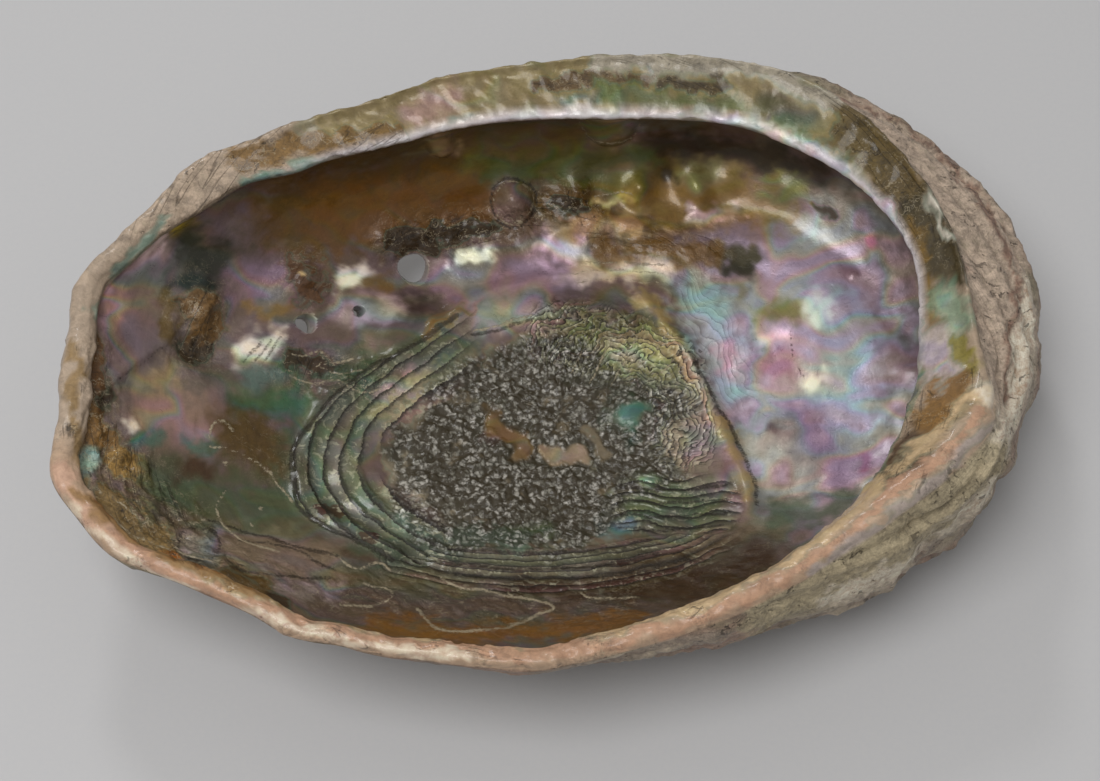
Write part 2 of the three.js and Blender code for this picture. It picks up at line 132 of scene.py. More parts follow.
# Marks on the inside: name, colour, share of pearl, radius and places in photograph pixels. Some are painted
# highlights or painted shade, noted at each.
INSIDE_MARKS = [
    ("scar ground", "#80766a", 0.9, 150, [(480, 430), (620, 430)]),
    ("upper wall", "#6e5830", 0.75, 62, [(300, 210), (400, 190), (520, 185), (640, 185), (800, 195)]),
    ("right nacre", "#d0c6dc", 1, 95, [(790, 270), (815, 360), (800, 450)]),
    ("left nacre", "#8a8280", 0.8, 80, [(160, 290), (180, 380), (150, 430)]),
    ("lower wall", "#74695a", 0.85, 62, [(170, 500), (260, 530), (350, 570), (480, 590), (640, 580), (760, 550)]),
    ("outer crust beige", "#b09a8c", 0.1, 15, [(66, 370), (85, 290), (115, 250), (140, 225), (165, 200)]),
    ("brown under spot", "#a89064", 0.15, 14, [(181, 227)]),
    ("green spot", "#d6c878", 0.75, 8, [(181, 227)]),
    # Teal nacre in a hollow, painted darker as the hollow's shade.
    ("shaded teal hollow", "#46483e", 0.8, 25, [(186, 250), (222, 262)]),
    ("lavender corner", "#f0e4f0", 1, 16, [(145, 254), (162, 241)]),
    ("grey mauve left", "#988c90", 1, 34, [(115, 335), (130, 300), (145, 285)]),
    ("pink left", "#c8a8a8", 1, 13, [(108, 298), (113, 314)]),
    ("amber margin", "#6e5434", 0, 18, [(84, 352), (84, 382), (98, 406)]),
    ("olive ridge", "#6e5e34", 0.75, 10, [(170, 300), (172, 330)]),
    # Painted shade under the tan lump.
    ("painted shade under lump", "#4c3e2c", 0.2, 13, [(190, 350), (204, 344)]),
    ("tan crust lump", "#826c50", 0, 17, [(200, 303), (206, 325)]),
    ("blue teal blotch", "#44504e", 0.8, 11, [(182, 280), (206, 281)]),
    ("lavender pink", "#a591a5", 1, 20, [(242, 286), (282, 286)]),
    ("brown whorl", "#68503a", 0.1, 17, [(300, 273), (314, 290)]),
    ("cream eye", "#c8b79a", 0.2, 4, [(308, 272)]),
    ("tan crescent", "#94805e", 0.75, 7, [(248, 308), (266, 317), (286, 305)]),
    # Painted highlight: a white glint on the feathered nacre.
    ("feather glint", "#ecebe4", 0.84, 13, [(248, 353), (272, 341)]),
    ("grey feather", "#77756f", 0.8, 12, [(214, 374), (246, 379)]),
    ("beige nacre", "#aa9e86", 0.8, 15, [(150, 378), (166, 378)]),
    ("pink mauve", "#b09a98", 1, 25, [(155, 418), (208, 424)]),
    # Painted highlight: a small white glint.
    ("white glint left", "#eceae2", 0.84, 5, [(128, 420), (132, 425)]),
    ("amber crust", "#8a7250", 0.1, 20, [(82, 415), (96, 440)]),
    # Painted shade in a small pocket.
    ("shaded pocket", "#3d342a", 0.75, 9, [(105, 402)]),
    ("blue patch", "#98c2cc", 1, 11, [(80, 467), (93, 464)]),
    ("crust lumps", "#9c8660", 0, 17, [(124, 460), (137, 474)]),
    ("teal fringe one", "#5d938c", 1, 6, [(138, 436), (158, 437)]),
    ("teal fringe two", "#5d938c", 1, 6, [(190, 440), (212, 448)]),
    ("green teal", "#729482", 1, 18, [(252, 383), (286, 371)]),
    ("brown flakes", "#4a3a28", 0.15, 11, [(292, 362), (330, 372), (372, 384)]),
    ("teal green band", "#50806a", 1, 12, [(236, 406), (270, 401), (306, 403)]),
    ("brown olive patch", "#66552f", 0.72, 31, [(238, 432), (276, 452), (286, 470)]),
    ("dark teal field", "#66705c", 0.8, 28, [(165, 484), (222, 500), (282, 506)]),
    ("brown bit", "#5a4430", 0.75, 12, [(188, 470), (204, 472)]),
    ("mauve grey band", "#998e84", 0.85, 27, [(236, 552), (290, 556), (322, 562)]),
    ("lavender patch", "#a49cac", 1, 12, [(195, 543), (208, 542)]),
    ("flaky margin", "#8c7c60", 0.1, 21, [(88, 498), (128, 528), (166, 552)]),
    ("amber flake", "#9a6a34", 0.1, 7, [(160, 559), (176, 556)]),
    ("olive brown low", "#6a5632", 0.2, 13, [(230, 577), (262, 586)]),
    ("grey lavender low", "#a49ea4", 1, 9, [(282, 588), (336, 590)]),
    ("dark brown low", "#4a3824", 0.2, 7, [(254, 602), (286, 602)]),
    ("scar rings", "#667868", 0.9, 30, [(440, 352), (372, 385), (325, 430), (318, 470), (336, 505), (400, 540)]),
    ("scar mauve left", "#767c6c", 0.9, 14, [(350, 420), (342, 460), (352, 500)]),
    ("scar pink", "#b4a298", 1, 24, [(396, 408), (414, 390)]),
    ("granule field", "#80776a", 0.2, 62, [(450, 440), (540, 400), (640, 400), (640, 440), (560, 500), (450, 500)]),
    ("olive smooth", "#86704a", 0.9, 16, [(492, 424), (518, 444)]),
    ("mauve dot", "#9c8490", 1, 8, [(488, 439)]),
    ("pinkish smooth", "#a09486", 0.9, 11, [(544, 452), (584, 461)]),
    ("silver facets", "#b6b2ae", 1, 20, [(478, 318), (522, 308)]),
    ("amber arc", "#8c7450", 0.2, 6, [(430, 332), (454, 316), (475, 299), (505, 285), (536, 279), (560, 277)]),
    ("cream silver", "#dcd4c4", 0.84, 12, [(572, 270), (660, 270)]),
    ("chevrons gold", "#70704e", 0.75, 34, [(592, 342), (640, 350), (664, 350)]),
    # Painted highlight: pale gold glints over the chevrons' gold nacre.
    ("chevron highlight", "#acac88", 1, 18, [(622, 355), (654, 352)]),
    ("teal knob", "#5a8f88", 1, 18, [(627, 413)]),
    ("teal dot", "#568a84", 1, 6, [(633, 438)]),
    ("green knob", "#80a080", 1, 11, [(649, 481)]),
    ("mauve smooth", "#9c9088", 1, 25, [(690, 442), (712, 446)]),
    ("pink edge", "#947c80", 1, 10, [(733, 448), (736, 492)]),
    ("striped green", "#647056", 0.9, 26, [(640, 507), (708, 507)]),
    ("green smear", "#9cba94", 1, 8, [(512, 530), (545, 530)]),
    ("blue smear", "#7494a0", 1, 10, [(608, 527), (626, 527)]),
    ("teal rim of scar", "#8aa49a", 0.2, 12, [(412, 520), (460, 536), (520, 540)]),
    ("pale granules", "#a09a90", 0.2, 16, [(400, 470), (412, 500), (450, 516)]),
    ("scar brown one", "#4c3826", 0, 9, [(322, 510), (340, 513)]),
    ("scar brown two", "#4c3826", 0, 8, [(362, 533), (378, 535)]),
    ("ridge ochre", "#a89a78", 0.75, 7, [(639, 293), (660, 315), (680, 340), (690, 354)]),
    ("boundary ridge", "#a89878", 0.75, 6, [(682, 354), (707, 399), (729, 440), (747, 481), (751, 503)]),
    ("bluish nacre", "#bcc6de", 1, 34, [(850, 330), (840, 400)]),
    ("violet nacre", "#a08ca8", 1, 30, [(800, 430), (830, 470)]),
    ("turquoise shimmer", "#b4cad8", 1, 24, [(700, 300), (716, 340), (728, 378)]),
    ("pink shimmer", "#c6aac0", 1, 9, [(725, 348), (727, 368)]),
    ("olive triangle top", "#54522e", 0.75, 11, [(724, 257), (754, 257)]),
    ("olive triangle", "#403e26", 0.75, 9, [(734, 272), (747, 272)]),
    ("olive triangle tip", "#a09a88", 0.8, 5, [(741, 290), (741, 300)]),
    ("olive lens", "#9ca072", 0.9, 11, [(767, 313), (795, 313)]),
    ("pink nacre", "#b894b4", 1, 11, [(754, 366), (790, 366)]),
    ("magenta one", "#805c7a", 1, 8, [(772, 430)]),
    ("magenta two", "#c680ac", 1, 7, [(874, 237)]),
    ("magenta three", "#a8709a", 1, 8, [(867, 462)]),
    ("pale aqua", "#c0ccd0", 0.84, 13, [(788, 222), (812, 227)]),
    ("dark slit", "#5a4c3c", 0.2, 3, [(814, 210), (837, 213)]),
    ("wart", "#a490a0", 1, 6, [(853, 272)]),
    # Painted highlights: the cyan, pink and white glints on the right nacre.
    ("cyan glint", "#ecf8ff", 0.84, 16, [(820, 310)]),
    ("pink glint", "#f0dcee", 1, 7, [(765, 334), (785, 334)]),
    ("white glint right", "#ffffff", 0.84, 9, [(815, 383), (823, 383)]),
    ("grey green streaks", "#6c766a", 0.8, 13, [(775, 515), (812, 512), (850, 500)]),
    # The wall's own brown under the shelf, painted darker as the shade of its overhang.
    ("under shelf left", "#7c6c4c", 0.8, 13, [(405, 144), (480, 139), (572, 138)]),
    ("under shelf right", "#4e3e22", 0.8, 16, [(655, 148), (740, 152), (816, 174)]),
    ("olive upper", "#88803e", 0.9, 17, [(472, 162), (550, 160), (630, 160)]),
    ("amber upper", "#80602f", 0.75, 28, [(326, 212), (400, 206), (466, 198)]),
    ("golden wall", "#9c8650", 0.8, 30, [(650, 196), (710, 200), (770, 204)]),
    ("green wall", "#6c7040", 0.85, 16, [(500, 172), (570, 166), (640, 160)]),
    ("amber wall low", "#7c6034", 0.8, 16, [(330, 236), (360, 224), (440, 214)]),
    ("dark crust", "#4c4030", 0.15, 10, [(395, 240), (440, 236), (488, 230)]),
    ("dark crust small", "#4c4030", 0.15, 7, [(558, 206), (582, 206)]),
    ("mauve dark", "#5c5054", 1, 18, [(402, 306), (434, 300)]),
    ("lavender upper", "#ac9cb0", 1, 22, [(444, 282), (500, 283), (550, 272)]),
    # Painted highlights: a bright lavender patch over the lavender nacre, a white streak and a yellow glint.
    ("lavender highlight", "#e8d8fa", 1, 19, [(560, 244), (568, 240)]),
    ("white streak highlight", "#ffffff", 0.84, 8, [(458, 262), (490, 255)]),
    ("yellow glint", "#d0c488", 0.85, 6, [(598, 200), (630, 198)]),
    ("amber ridges", "#b49c80", 0.8, 12, [(560, 228), (600, 225), (636, 226)]),
    ("hump one", "#8e8040", 0.9, 13, [(608, 183), (644, 183)]),
    ("hump two", "#a89c56", 0.9, 16, [(692, 180), (730, 178)]),
    # Painted shade in a dimple.
    ("shaded dimple", "#4a3c26", 0.75, 8, [(665, 173)]),
    ("pink flake", "#d0b8b4", 0.9, 6, [(690, 216), (734, 215)]),
    ("green upper", "#a09a5c", 0.9, 13, [(775, 188), (800, 190)]),
    ("ochre right", "#826a40", 0.75, 13, [(600, 252), (660, 250), (716, 254)]),
    ("half blister", "#a8987c", 0.85, 24, [(610, 122)]),
    ("half blister green", "#8f9468", 1, 8, [(596, 128), (606, 136)]),
    ("half blister mauve", "#b09aa6", 1, 9, [(620, 117), (634, 124)]),
    ("small blister", "#b4a48c", 0.85, 14, [(441, 144)]),
    ("pearl", "#988a84", 1, 22, [(513, 203)]),
    # Painted highlights by the hole's seat: a pale lilac patch over lilac nacre, and a white-pink glint.
    ("lilac highlight", "#c8c0cc", 1, 14, [(345, 312), (388, 307)]),
    ("white pink glint", "#ffffff", 0.84, 11, [(342, 282), (364, 278)]),
    ("amber by hole", "#846c48", 0.75, 9, [(370, 285), (386, 285)]),
    ("crust over hole", "#4a3c2a", 0.1, 7, [(396, 248), (414, 244), (430, 250)]),
    ("layered grey", "#66645a", 0.75, 13, [(450, 560), (540, 563), (645, 556)]),
    ("dark teal low", "#525c50", 0.75, 12, [(392, 552), (455, 552)]),
    ("brown low one", "#574434", 0.75, 10, [(515, 588), (625, 589)]),
    ("brown low two", "#544230", 0.75, 25, [(632, 582), (700, 576), (752, 560)]),
    ("amber low band", "#8a6a40", 0.72, 12, [(370, 622), (450, 633), (540, 631), (632, 622)]),
]

# Marks on the shelf and the lip.
LIP_MARKS = [
    ("shelf ground", "#8a8258", 0.85, 46, [(350, 118), (470, 98), (620, 88), (760, 98), (850, 140)]),
    ("lower lip", "#b4a08e", 0.2, 40, [(54, 470), (110, 530), (220, 592), (420, 645), (557, 655), (700, 612),
        (860, 535)]),
    ("left lip", "#b0a498", 0.2, 40, [(60, 400), (80, 290), (150, 200), (250, 150)]),
    ("left crust lip", "#94805e", 0.15, 5, [(76, 350), (72, 390), (76, 430), (90, 462)]),
    ("teal fringe lip", "#7a9a94", 0.9, 4, [(95, 315), (105, 300), (125, 260), (150, 235), (165, 220)]),
    ("pink lip left", "#c4a898", 0.2, 10, [(60, 470), (90, 512), (140, 552), (200, 585)]),
    ("lip outer strip", "#a7a49c", 0.2, 12, [(600, 60), (743, 66), (804, 90), (855, 114)]),
    ("spire lip", "#b8a898", 0.75, 34, [(990, 420), (930, 480), (850, 545)]),
    ("khaki mottled", "#5e5028", 0.15, 34, [(862, 130), (905, 185)]),
    ("dark mottled", "#443c1e", 0.15, 32, [(925, 220), (950, 262)]),
    ("amber spire", "#7a6430", 0.1, 14, [(908, 236), (920, 280), (928, 322)]),
    ("pale teal spire", "#8caa96", 0.9, 15, [(944, 298), (958, 322)]),
    ("lavender triangle", "#b4b0b8", 1, 22, [(938, 352), (946, 376)]),
    ("olive yellow", "#8a8440", 0.2, 12, [(964, 348), (968, 360)]),
    ("amber tip", "#846632", 0.1, 20, [(958, 392), (930, 420)]),
    ("brown tip", "#4e3a26", 0.2, 20, [(915, 450), (884, 482)]),
    ("white knob", "#e6e2d6", 0.75, 10, [(980, 388), (994, 389)]),
    ("pinkish shelf", "#a58f88", 0.8, 16, [(416, 112), (444, 102)]),
    ("teal shelf one", "#7fa098", 0.9, 5, [(451, 122), (475, 121)]),
    ("teal shelf two", "#728470", 0.9, 5, [(556, 98), (610, 97)]),
    ("blue dot", "#6a7480", 0.9, 4, [(641, 71)]),
    ("brown stain one", "#625038", 0, 8, [(538, 82), (590, 79), (640, 81)]),
    ("brown stain two", "#4c402a", 0, 7, [(658, 84), (726, 84)]),
    ("teal blue shelf", "#6a7058", 1, 6, [(688, 98), (722, 98)]),
    ("orange shelf", "#a8905a", 0.75, 9, [(700, 117), (762, 114)]),
    ("gold shelf", "#94823c", 0.8, 8, [(600, 104), (660, 108), (704, 112)]),
    ("green shelf", "#6c7c4c", 0.85, 10, [(600, 88), (660, 100), (730, 104), (790, 122)]),
    ("teal shelf three", "#6e7450", 1, 13, [(766, 104), (796, 112)]),
    ("mauve edge", "#b09cae", 1, 8, [(722, 124), (784, 142), (824, 167), (851, 187), (886, 213)]),
    ("teal edge", "#6f8f86", 1, 4, [(796, 134), (824, 146), (849, 171)]),
    ("amber conchiolin", "#80683e", 0, 13, [(240, 160), (300, 146), (396, 138)]),
    ("teal stripe left", "#6c9890", 0.9, 5, [(240, 182), (285, 172), (330, 166)]),
    # The shelf's pale inner edge: partly its own nacre, partly a painted highlight along the rounded edge.
    ("white inner edge", "#d5d3cc", 0.8, 5, [(383, 152), (422, 140), (473, 128), (524, 120), (587, 113)]),
    ("teal inner edge", "#7a8c7c", 1, 4, [(893, 220), (918, 341), (908, 400), (865, 494)]),
    ("white crystal", "#d2d2cc", 0.75, 4, [(926, 195), (950, 232), (976, 271), (985, 314)]),
    ("cream inner lip", "#c8b698", 0.75, 6, [(976, 393), (950, 415), (932, 441), (898, 467), (859, 506),
        (802, 545), (759, 571), (720, 595), (640, 624), (557, 639), (446, 637), (314, 612), (229, 584),
        (118, 526)]),
    ("peach lip", "#b89a86", 0.2, 7, [(980, 413), (958, 441), (915, 473), (872, 514), (828, 545), (774, 579),
        (731, 603), (650, 634), (560, 650), (430, 645), (310, 622), (200, 582), (110, 532)]),
    ("tan flakes", "#947a54", 0.2, 7, [(78, 492), (112, 520), (150, 543), (200, 566), (250, 586), (300, 600),
        (350, 615)]),
    ("white flakes", "#d4cabc", 0.2, 4, [(66, 500), (104, 540), (152, 574), (214, 602), (290, 626),
        (370, 646), (470, 658)]),
    ("amber flakes", "#86643a", 0.2, 4, [(96, 500), (134, 528), (180, 552), (236, 574), (300, 594)]),
    ("grey outer lip", "#aaa3a2", 0.2, 6, [(1000, 423), (958, 458), (926, 488), (893, 521), (854, 540),
        (818, 571)]),
]

# Marks on the outside that the photograph shows.
OUTSIDE_MARKS = [
    ("pink ridges", "#b4a496", 0.1, 34, [(860, 110), (930, 165), (985, 230), (1005, 300), (1008, 380)]),
    ("grey beige", "#d0c8ba", 0, 26, [(1040, 300), (1030, 400), (1010, 450)]),
    ("khaki crust", "#a49a80", 0, 30, [(985, 470), (930, 520), (850, 570), (770, 615)]),
    ("grey beige low", "#d2cabc", 0, 20, [(1000, 500), (930, 565), (840, 610)]),
    ("red brown line", "#84685a", 0, 3, [(842, 95), (913, 132), (972, 188), (1000, 232), (1015, 286),
        (1009, 329), (1002, 373), (1006, 405)]),
]

# Dark lines: name, half width and places in photograph pixels.
DARK_LINES = [
    ("scar boundary", 2.4, [(458, 316), (409, 348), (371, 367), (330, 401), (307, 430), (293, 452),
        (294, 481), (301, 509), (328, 528), (367, 544), (393, 560)]),
    ("scar right edge", 2.0, [(690, 352), (714, 397), (736, 438), (754, 480), (758, 505)]),
    ("curved nacre line", 0.3, [(791, 329), (792, 355), (807, 380)]),
    ("left fold", 0.4, [(112, 386), (140, 364), (172, 345), (196, 352)]),
    ("lump shadow", 0.8, [(180, 339), (190, 352), (214, 344)]),
    ("feather line one", 0.9, [(244, 362), (262, 340)]),
    ("feather line two", 0.9, [(254, 362), (272, 338)]),
    ("feather line three", 0.9, [(264, 360), (280, 338)]),
    ("patch outline", 1.5, [(184, 530), (180, 545), (190, 558), (210, 558), (220, 546), (212, 530), (190, 528)]),
    ("brown fold low", 1.2, [(208, 521), (260, 534), (300, 548), (340, 556)]),
    ("low streak one", 1.2, [(222, 566), (270, 574), (330, 578)]),
    ("low streak two", 1.0, [(240, 540), (290, 548), (336, 570)]),
    ("layer one", 1.3, [(447, 548), (520, 552), (600, 550), (650, 540)]),
    ("layer two", 1.2, [(440, 562), (520, 568), (610, 564), (660, 552)]),
    ("layer three", 1.2, [(455, 574), (530, 578), (620, 575), (690, 560)]),
    ("stripe one", 1.2, [(620, 488), (680, 490), (728, 484)]),
    ("stripe two", 1.2, [(618, 500), (676, 503), (730, 498)]),
    ("stripe three", 1.2, [(616, 514), (676, 517), (729, 511)]),
    ("stripe four", 1.2, [(617, 528), (676, 530), (722, 524)]),
    ("arc one", 1.0, [(655, 440), (668, 450), (672, 466), (668, 480)]),
    ("arc two", 1.0, [(664, 436), (680, 448), (686, 466), (682, 482)]),
    ("facet edge", 1.2, [(471, 336), (500, 328), (532, 318)]),
    ("pearl rim", 1.3, [(490, 203), (494, 188), (508, 179), (524, 181), (535, 193), (536, 208), (527, 222),
        (511, 227), (497, 220), (490, 203)]),
]

# Pale lines: name, half width and places in photograph pixels.
PALE_LINES = [
    ("worm one", 1.6, [(208, 445), (243, 455), (270, 472), (279, 487), (294, 502)]),
    ("worm two", 1.6, [(208, 437), (212, 426), (224, 421), (233, 430)]),
    ("worm three", 1.5, [(227, 491), (216, 504), (218, 514), (222, 525), (250, 543), (279, 552)]),
    ("worm four", 1.3, [(180, 525), (208, 520)]),
    ("worm five", 1.5, [(178, 539), (185, 554), (222, 560)]),
    ("worm six", 1.6, [(340, 557), (359, 568), (380, 563), (391, 571)]),
    ("worm seven", 1.5, [(364, 584), (391, 592), (388, 600), (367, 606), (340, 604)]),
    ("worm eight", 1.8, [(439, 576), (461, 587), (506, 595), (552, 606), (528, 619), (490, 630), (447, 630),
        (428, 622), (418, 608)]),
    ("worm nine", 1.4, [(509, 587), (514, 595), (554, 606)]),
    ("worm ten", 1.5, [(581, 590), (594, 598), (637, 598)]),
    ("speck one", 2.0, [(224, 463), (226, 464)]),
    ("speck two", 2.0, [(260, 508), (262, 509)]),
    ("speck three", 1.8, [(252, 523), (253, 524)]),
    ("speck four", 1.8, [(174, 500), (176, 501)]),
    ("flake edge one", 1.3, [(282, 352), (300, 358), (318, 352), (334, 362), (352, 358)]),
    ("flake edge two", 1.3, [(290, 376), (312, 384), (336, 380), (358, 392), (382, 388)]),
    ("flake edge three", 1.2, [(318, 366), (340, 374), (362, 370)]),
    ("chevron one", 1.1, [(572, 372), (596, 330), (624, 352), (650, 316)]),
    ("chevron two", 1.1, [(590, 384), (612, 344), (640, 364), (668, 332)]),
    ("chevron three", 1.1, [(612, 386), (632, 356), (656, 374), (682, 350)]),
    ("silver line one", 0.9, [(566, 266), (610, 262), (664, 266)]),
    ("silver line two", 0.9, [(568, 274), (612, 270), (664, 275)]),
    ("silver line three", 0.9, [(574, 282), (616, 279), (660, 284)]),
    ("facet white edge", 1.4, [(471, 332), (500, 324), (532, 314)]),
    # Painted highlight: a glint on the pearl blister.
    ("pearl glint", 2.6, [(520, 221), (522, 222)]),
    ("margin flake one", 1.3, [(78, 500), (104, 512), (132, 534), (170, 548)]),
    ("margin flake two", 1.2, [(90, 486), (118, 502), (150, 524)]),
    # Painted highlight: a glint along the upper wall.
    ("wall glint", 1.3, [(596, 196), (612, 193), (632, 194)]),
    ("pearl lip", 1.2, [(492, 203), (497, 190), (509, 182), (523, 184), (533, 194), (533, 208), (525, 219),
        (511, 224), (498, 217), (492, 203)]),
    ("half blister lip", 1.1, [(580, 122), (586, 134), (600, 143), (616, 144), (632, 137), (640, 124)]),
]

# Ridges and hollows of the inside: name, height in millimetres, radius and places in pixels.
INSIDE_RIDGES = [
    ("scar rim", 0.9, 9, [(458, 322), (409, 354), (371, 373), (334, 405), (312, 434), (299, 456), (300, 481),
        (307, 505), (332, 522), (370, 538), (395, 552)]),
    ("scar right rim", 0.9, 8, [(639, 293), (682, 348), (704, 397), (726, 438), (744, 480), (748, 503)]),
    ("tan lump", 1.6, 18, [(200, 303), (206, 325)]),
    ("olive ridge", 1.0, 9, [(170, 298), (172, 332)]),
    ("teal ridge", 0.7, 6, [(114, 379), (140, 358), (171, 339)]),
    ("dark hollow", -1.6, 24, [(186, 250), (222, 262)]),
    ("lump hollow", -0.9, 9, [(184, 346), (200, 354)]),
    ("pocket", -0.8, 9, [(105, 402)]),
    ("amber arc", 0.6, 7, [(430, 332), (475, 299), (536, 279), (600, 276)]),
    ("crust over hole", 0.8, 8, [(394, 250), (414, 243), (434, 250)]),
    ("crust ridge one", 0.9, 9, [(385, 236), (440, 230), (492, 222)]),
    ("crust ridge two", 0.25, 12, [(330, 200), (400, 190), (470, 186)]),
    ("amber ridge", 0.7, 8, [(556, 232), (600, 222), (640, 226)]),
    ("pink flake", 0.6, 6, [(690, 214), (734, 214)]),
    ("dimple", -0.9, 9, [(665, 173)]),
    ("hump one", 1.5, 13, [(608, 183)]),
    ("hump two", 1.2, 12, [(642, 186)]),
    ("hump three", 1.6, 15, [(694, 181)]),
    ("hump four", 1.3, 12, [(727, 180)]),
    ("green hump", 0.9, 14, [(785, 189)]),
    ("hole seat", 1.0, 10, [(345, 310), (356, 302), (368, 312)]),
    ("layer step one", 0.5, 5, [(447, 554), (520, 558), (610, 556), (655, 546)]),
    ("layer step two", 0.5, 5, [(450, 570), (530, 573), (620, 570), (680, 558)]),
    ("amber band", 0.5, 8, [(370, 622), (450, 633), (540, 631), (632, 622)]),
    ("margin flake one", 0.5, 5, [(78, 500), (104, 512), (132, 534), (170, 548)]),
    ("margin flake two", 0.5, 5, [(90, 486), (118, 502), (150, 524)]),
    ("patch", 0.5, 14, [(195, 543), (208, 542)]),
]

# Round knobs of the inside: name, height in millimetres, radius and place in pixels.
INSIDE_KNOBS = [
    ("half blister", 1.6, 27, (610, 120)),
    ("small blister", 0.9, 14, (441, 143)),
    ("pearl", 1.5, 22, (513, 203)),
    ("teal knob", 0.8, 18, (627, 413)),
    ("teal dot", 0.4, 6, (633, 438)),
    ("green knob", 0.6, 11, (649, 481)),
    ("mauve dot", 0.5, 9, (488, 439)),
    ("wart", 0.6, 6, (853, 272)),
    ("whorl", 0.8, 13, (308, 275)),
    ("crust lump one", 0.9, 11, (120, 458)),
    ("crust lump two", 0.9, 10, (140, 472)),
    ("crust lump three", 0.7, 9, (92, 430)),
    ("tan lump top", 0.8, 11, (203, 312)),
]

DARK_LINE_TONE = "#211a12"
PALE_LINE_TONE = "#b6a88c"
BORE_TONE = "#a8a29a"
SHELF_EDGE_TONE = "#e2dce0"
# The marks' tones are as seen; the paint below them is deeper, since gloss and skylight are added.
SATURATION = {"inside": 1.12, "lip": 1.0, "outside": 0.9}
TONE_CONTRAST = {"inside": 1.36, "lip": 1.18, "outside": 1.05}
TONE_BALANCE = {"inside": (1.14, 1.08, 0.92), "lip": (1.08, 1.0, 0.9), "outside": (1.05, 0.99, 0.9)}

# How far the marks and lines wander, and how far a line is felt, in pixels.
MARK_WANDER = 8
LINE_WANDER = 2
LINE_REACH = 12.0


# Noise and small helpers.
RANDOM = np.random.default_rng(7)
SHUFFLE = RANDOM.permutation(256)
SLOPES = RANDOM.normal(size=(256, 3))
SLOPES /= np.linalg.norm(SLOPES, axis=1)[:, None]
CELL_POINTS = RANDOM.random((256, 3))


def smooth(x, low, high):
    t = np.clip((x - low) / (high - low), 0, 1)
    return t * t * (3 - 2 * t)


def hill(distance, width):
    return np.exp(-(distance / width) ** 2)


def corner(cell):
    return SHUFFLE[(SHUFFLE[(SHUFFLE[cell[:, 0] & 255] + cell[:, 1]) & 255] + cell[:, 2]) & 255]


def noise(p, size, seed=0):
    """Gradient noise, about -1 to 1, with features of the given size."""
    q = p / size + seed * 13.7
    cell = np.floor(q).astype(int)
    f = q - cell
    w = f ** 3 * (f * (f * 6 - 15) + 10)
    total = np.zeros(len(p))
    for step in np.ndindex(2, 2, 2):
        s = np.array(step)
        share = np.prod(np.where(s == 1, w, 1 - w), axis=1)
        total += share * np.einsum("ij,ij->i", SLOPES[corner(cell + s)], f - s)
    return total * 1.7


def layered(p, size, seed=0, layers=3):
    return sum(noise(p, size / 2 ** k, seed + k) * 0.55 ** k for k in range(layers))


def drift(p, size, *seeds):
    """A smooth random shift, in as many dimensions as there are seeds."""
    return np.stack([layered(p, size, seed, 2) for seed in seeds], -1)


def ridged(p, size, seed=0, layers=3):
    return sum((1 - 2 * np.abs(noise(p, size / 2 ** k, seed + k))) * 0.55 ** k for k in range(layers))


def cells(p, size, seed=0):
    """Distance to the nearest of scattered points, in shares of the cell size."""
    q = p / size + seed * 5.1
    cell = np.floor(q).astype(int)
    best = np.full(len(p), 9.0)
    for step in np.ndindex(3, 3, 3):
        at = cell + np.array(step) - 1
        best = np.minimum(best, np.linalg.norm(at + CELL_POINTS[corner(at)] - q, axis=1))
    return best


def around(curve, degrees):
    """Value of a curve round the shell, by a closed cubic through its pairs."""
    c = np.array(curve, float)
    angle = np.concatenate([c[-2:, 0] - 360, c[:, 0], c[:3, 0] + 360])
    value = np.concatenate([c[-2:, 1], c[:, 1], c[:3, 1]])
    d = np.where(degrees < c[0, 0], degrees + 360, degrees)
    i = np.searchsorted(angle, d, side="right") - 1
    a0, a1, a2, a3 = (angle[i + k] for k in (-1, 0, 1, 2))
    v0, v1, v2, v3 = (value[i + k] for k in (-1, 0, 1, 2))
    t = (d - a1) / (a2 - a1)
    m1 = (v2 - v0) / (a2 - a0) * (a2 - a1)
    m2 = (v3 - v1) / (a3 - a1) * (a2 - a1)
    return ((2 * t**3 - 3 * t**2 + 1) * v1 + (t**3 - 2 * t**2 + t) * m1
            + (3 * t**2 - 2 * t**3) * v2 + (t**3 - t**2) * m2)


def curved(line, steps=5):
    """The line bent smoothly through its points."""
    if len(line) < 3:
        return line
    p = np.array([line[0], *line, line[-1]], float)
    out = []
    for a, b, c, d in zip(p, p[1:], p[2:], p[3:]):
        for k in range(steps):
            t = k / steps
            out.append(0.5 * (2 * b + (c - a) * t + (2 * a - 5 * b + 4 * c - d) * t**2
                              + (3 * b - a - 3 * c + d) * t**3))
    return out + [p[-1]]


def to_line(at, line):
    """Distance of each place to a line through points, in two dimensions."""
    best = np.full(len(at), np.inf)
    for a, b in zip(line, line[1:] if len(line) > 1 else line):
        a, b = np.array(a, float), np.array(b, float)
        run = b - a
        t = np.clip((at - a) @ run / max(run @ run, 1e-9), 0, 1)
        best = np.minimum(best, np.linalg.norm(at - a - t[:, None] * run, axis=1))
    return best


def near_line(at, line, reach):
    """Indices of the places within reach of a line's box, and their distances to the line."""
    box = np.array(line, float)
    low, high = box.min(0) - reach, box.max(0) + reach
    near = np.nonzero(((at > low) & (at < high)).all(1))[0]
    return near, to_line(at[near], curved(line))


def linear(code):
    """Linear colour from a hexadecimal code."""
    c = np.array([int(code[k:k + 2], 16) for k in (1, 3, 5)]) / 255
    return np.where(c <= 0.04045, c / 12.92, ((c + 0.055) / 1.055) ** 2.4)


# The swept surface.
def arc(t, reach, rise, end_degrees, fullness):
    power = 2 / fullness
    end = np.radians(end_degrees)
    phi = t * end

    def bent(c):
        return np.sign(c) * np.abs(c) ** power

    return (reach * np.sin(phi) ** power / np.sin(end) ** power,
            rise * (1 - bent(np.cos(phi))) / (1 - bent(np.cos(end))))


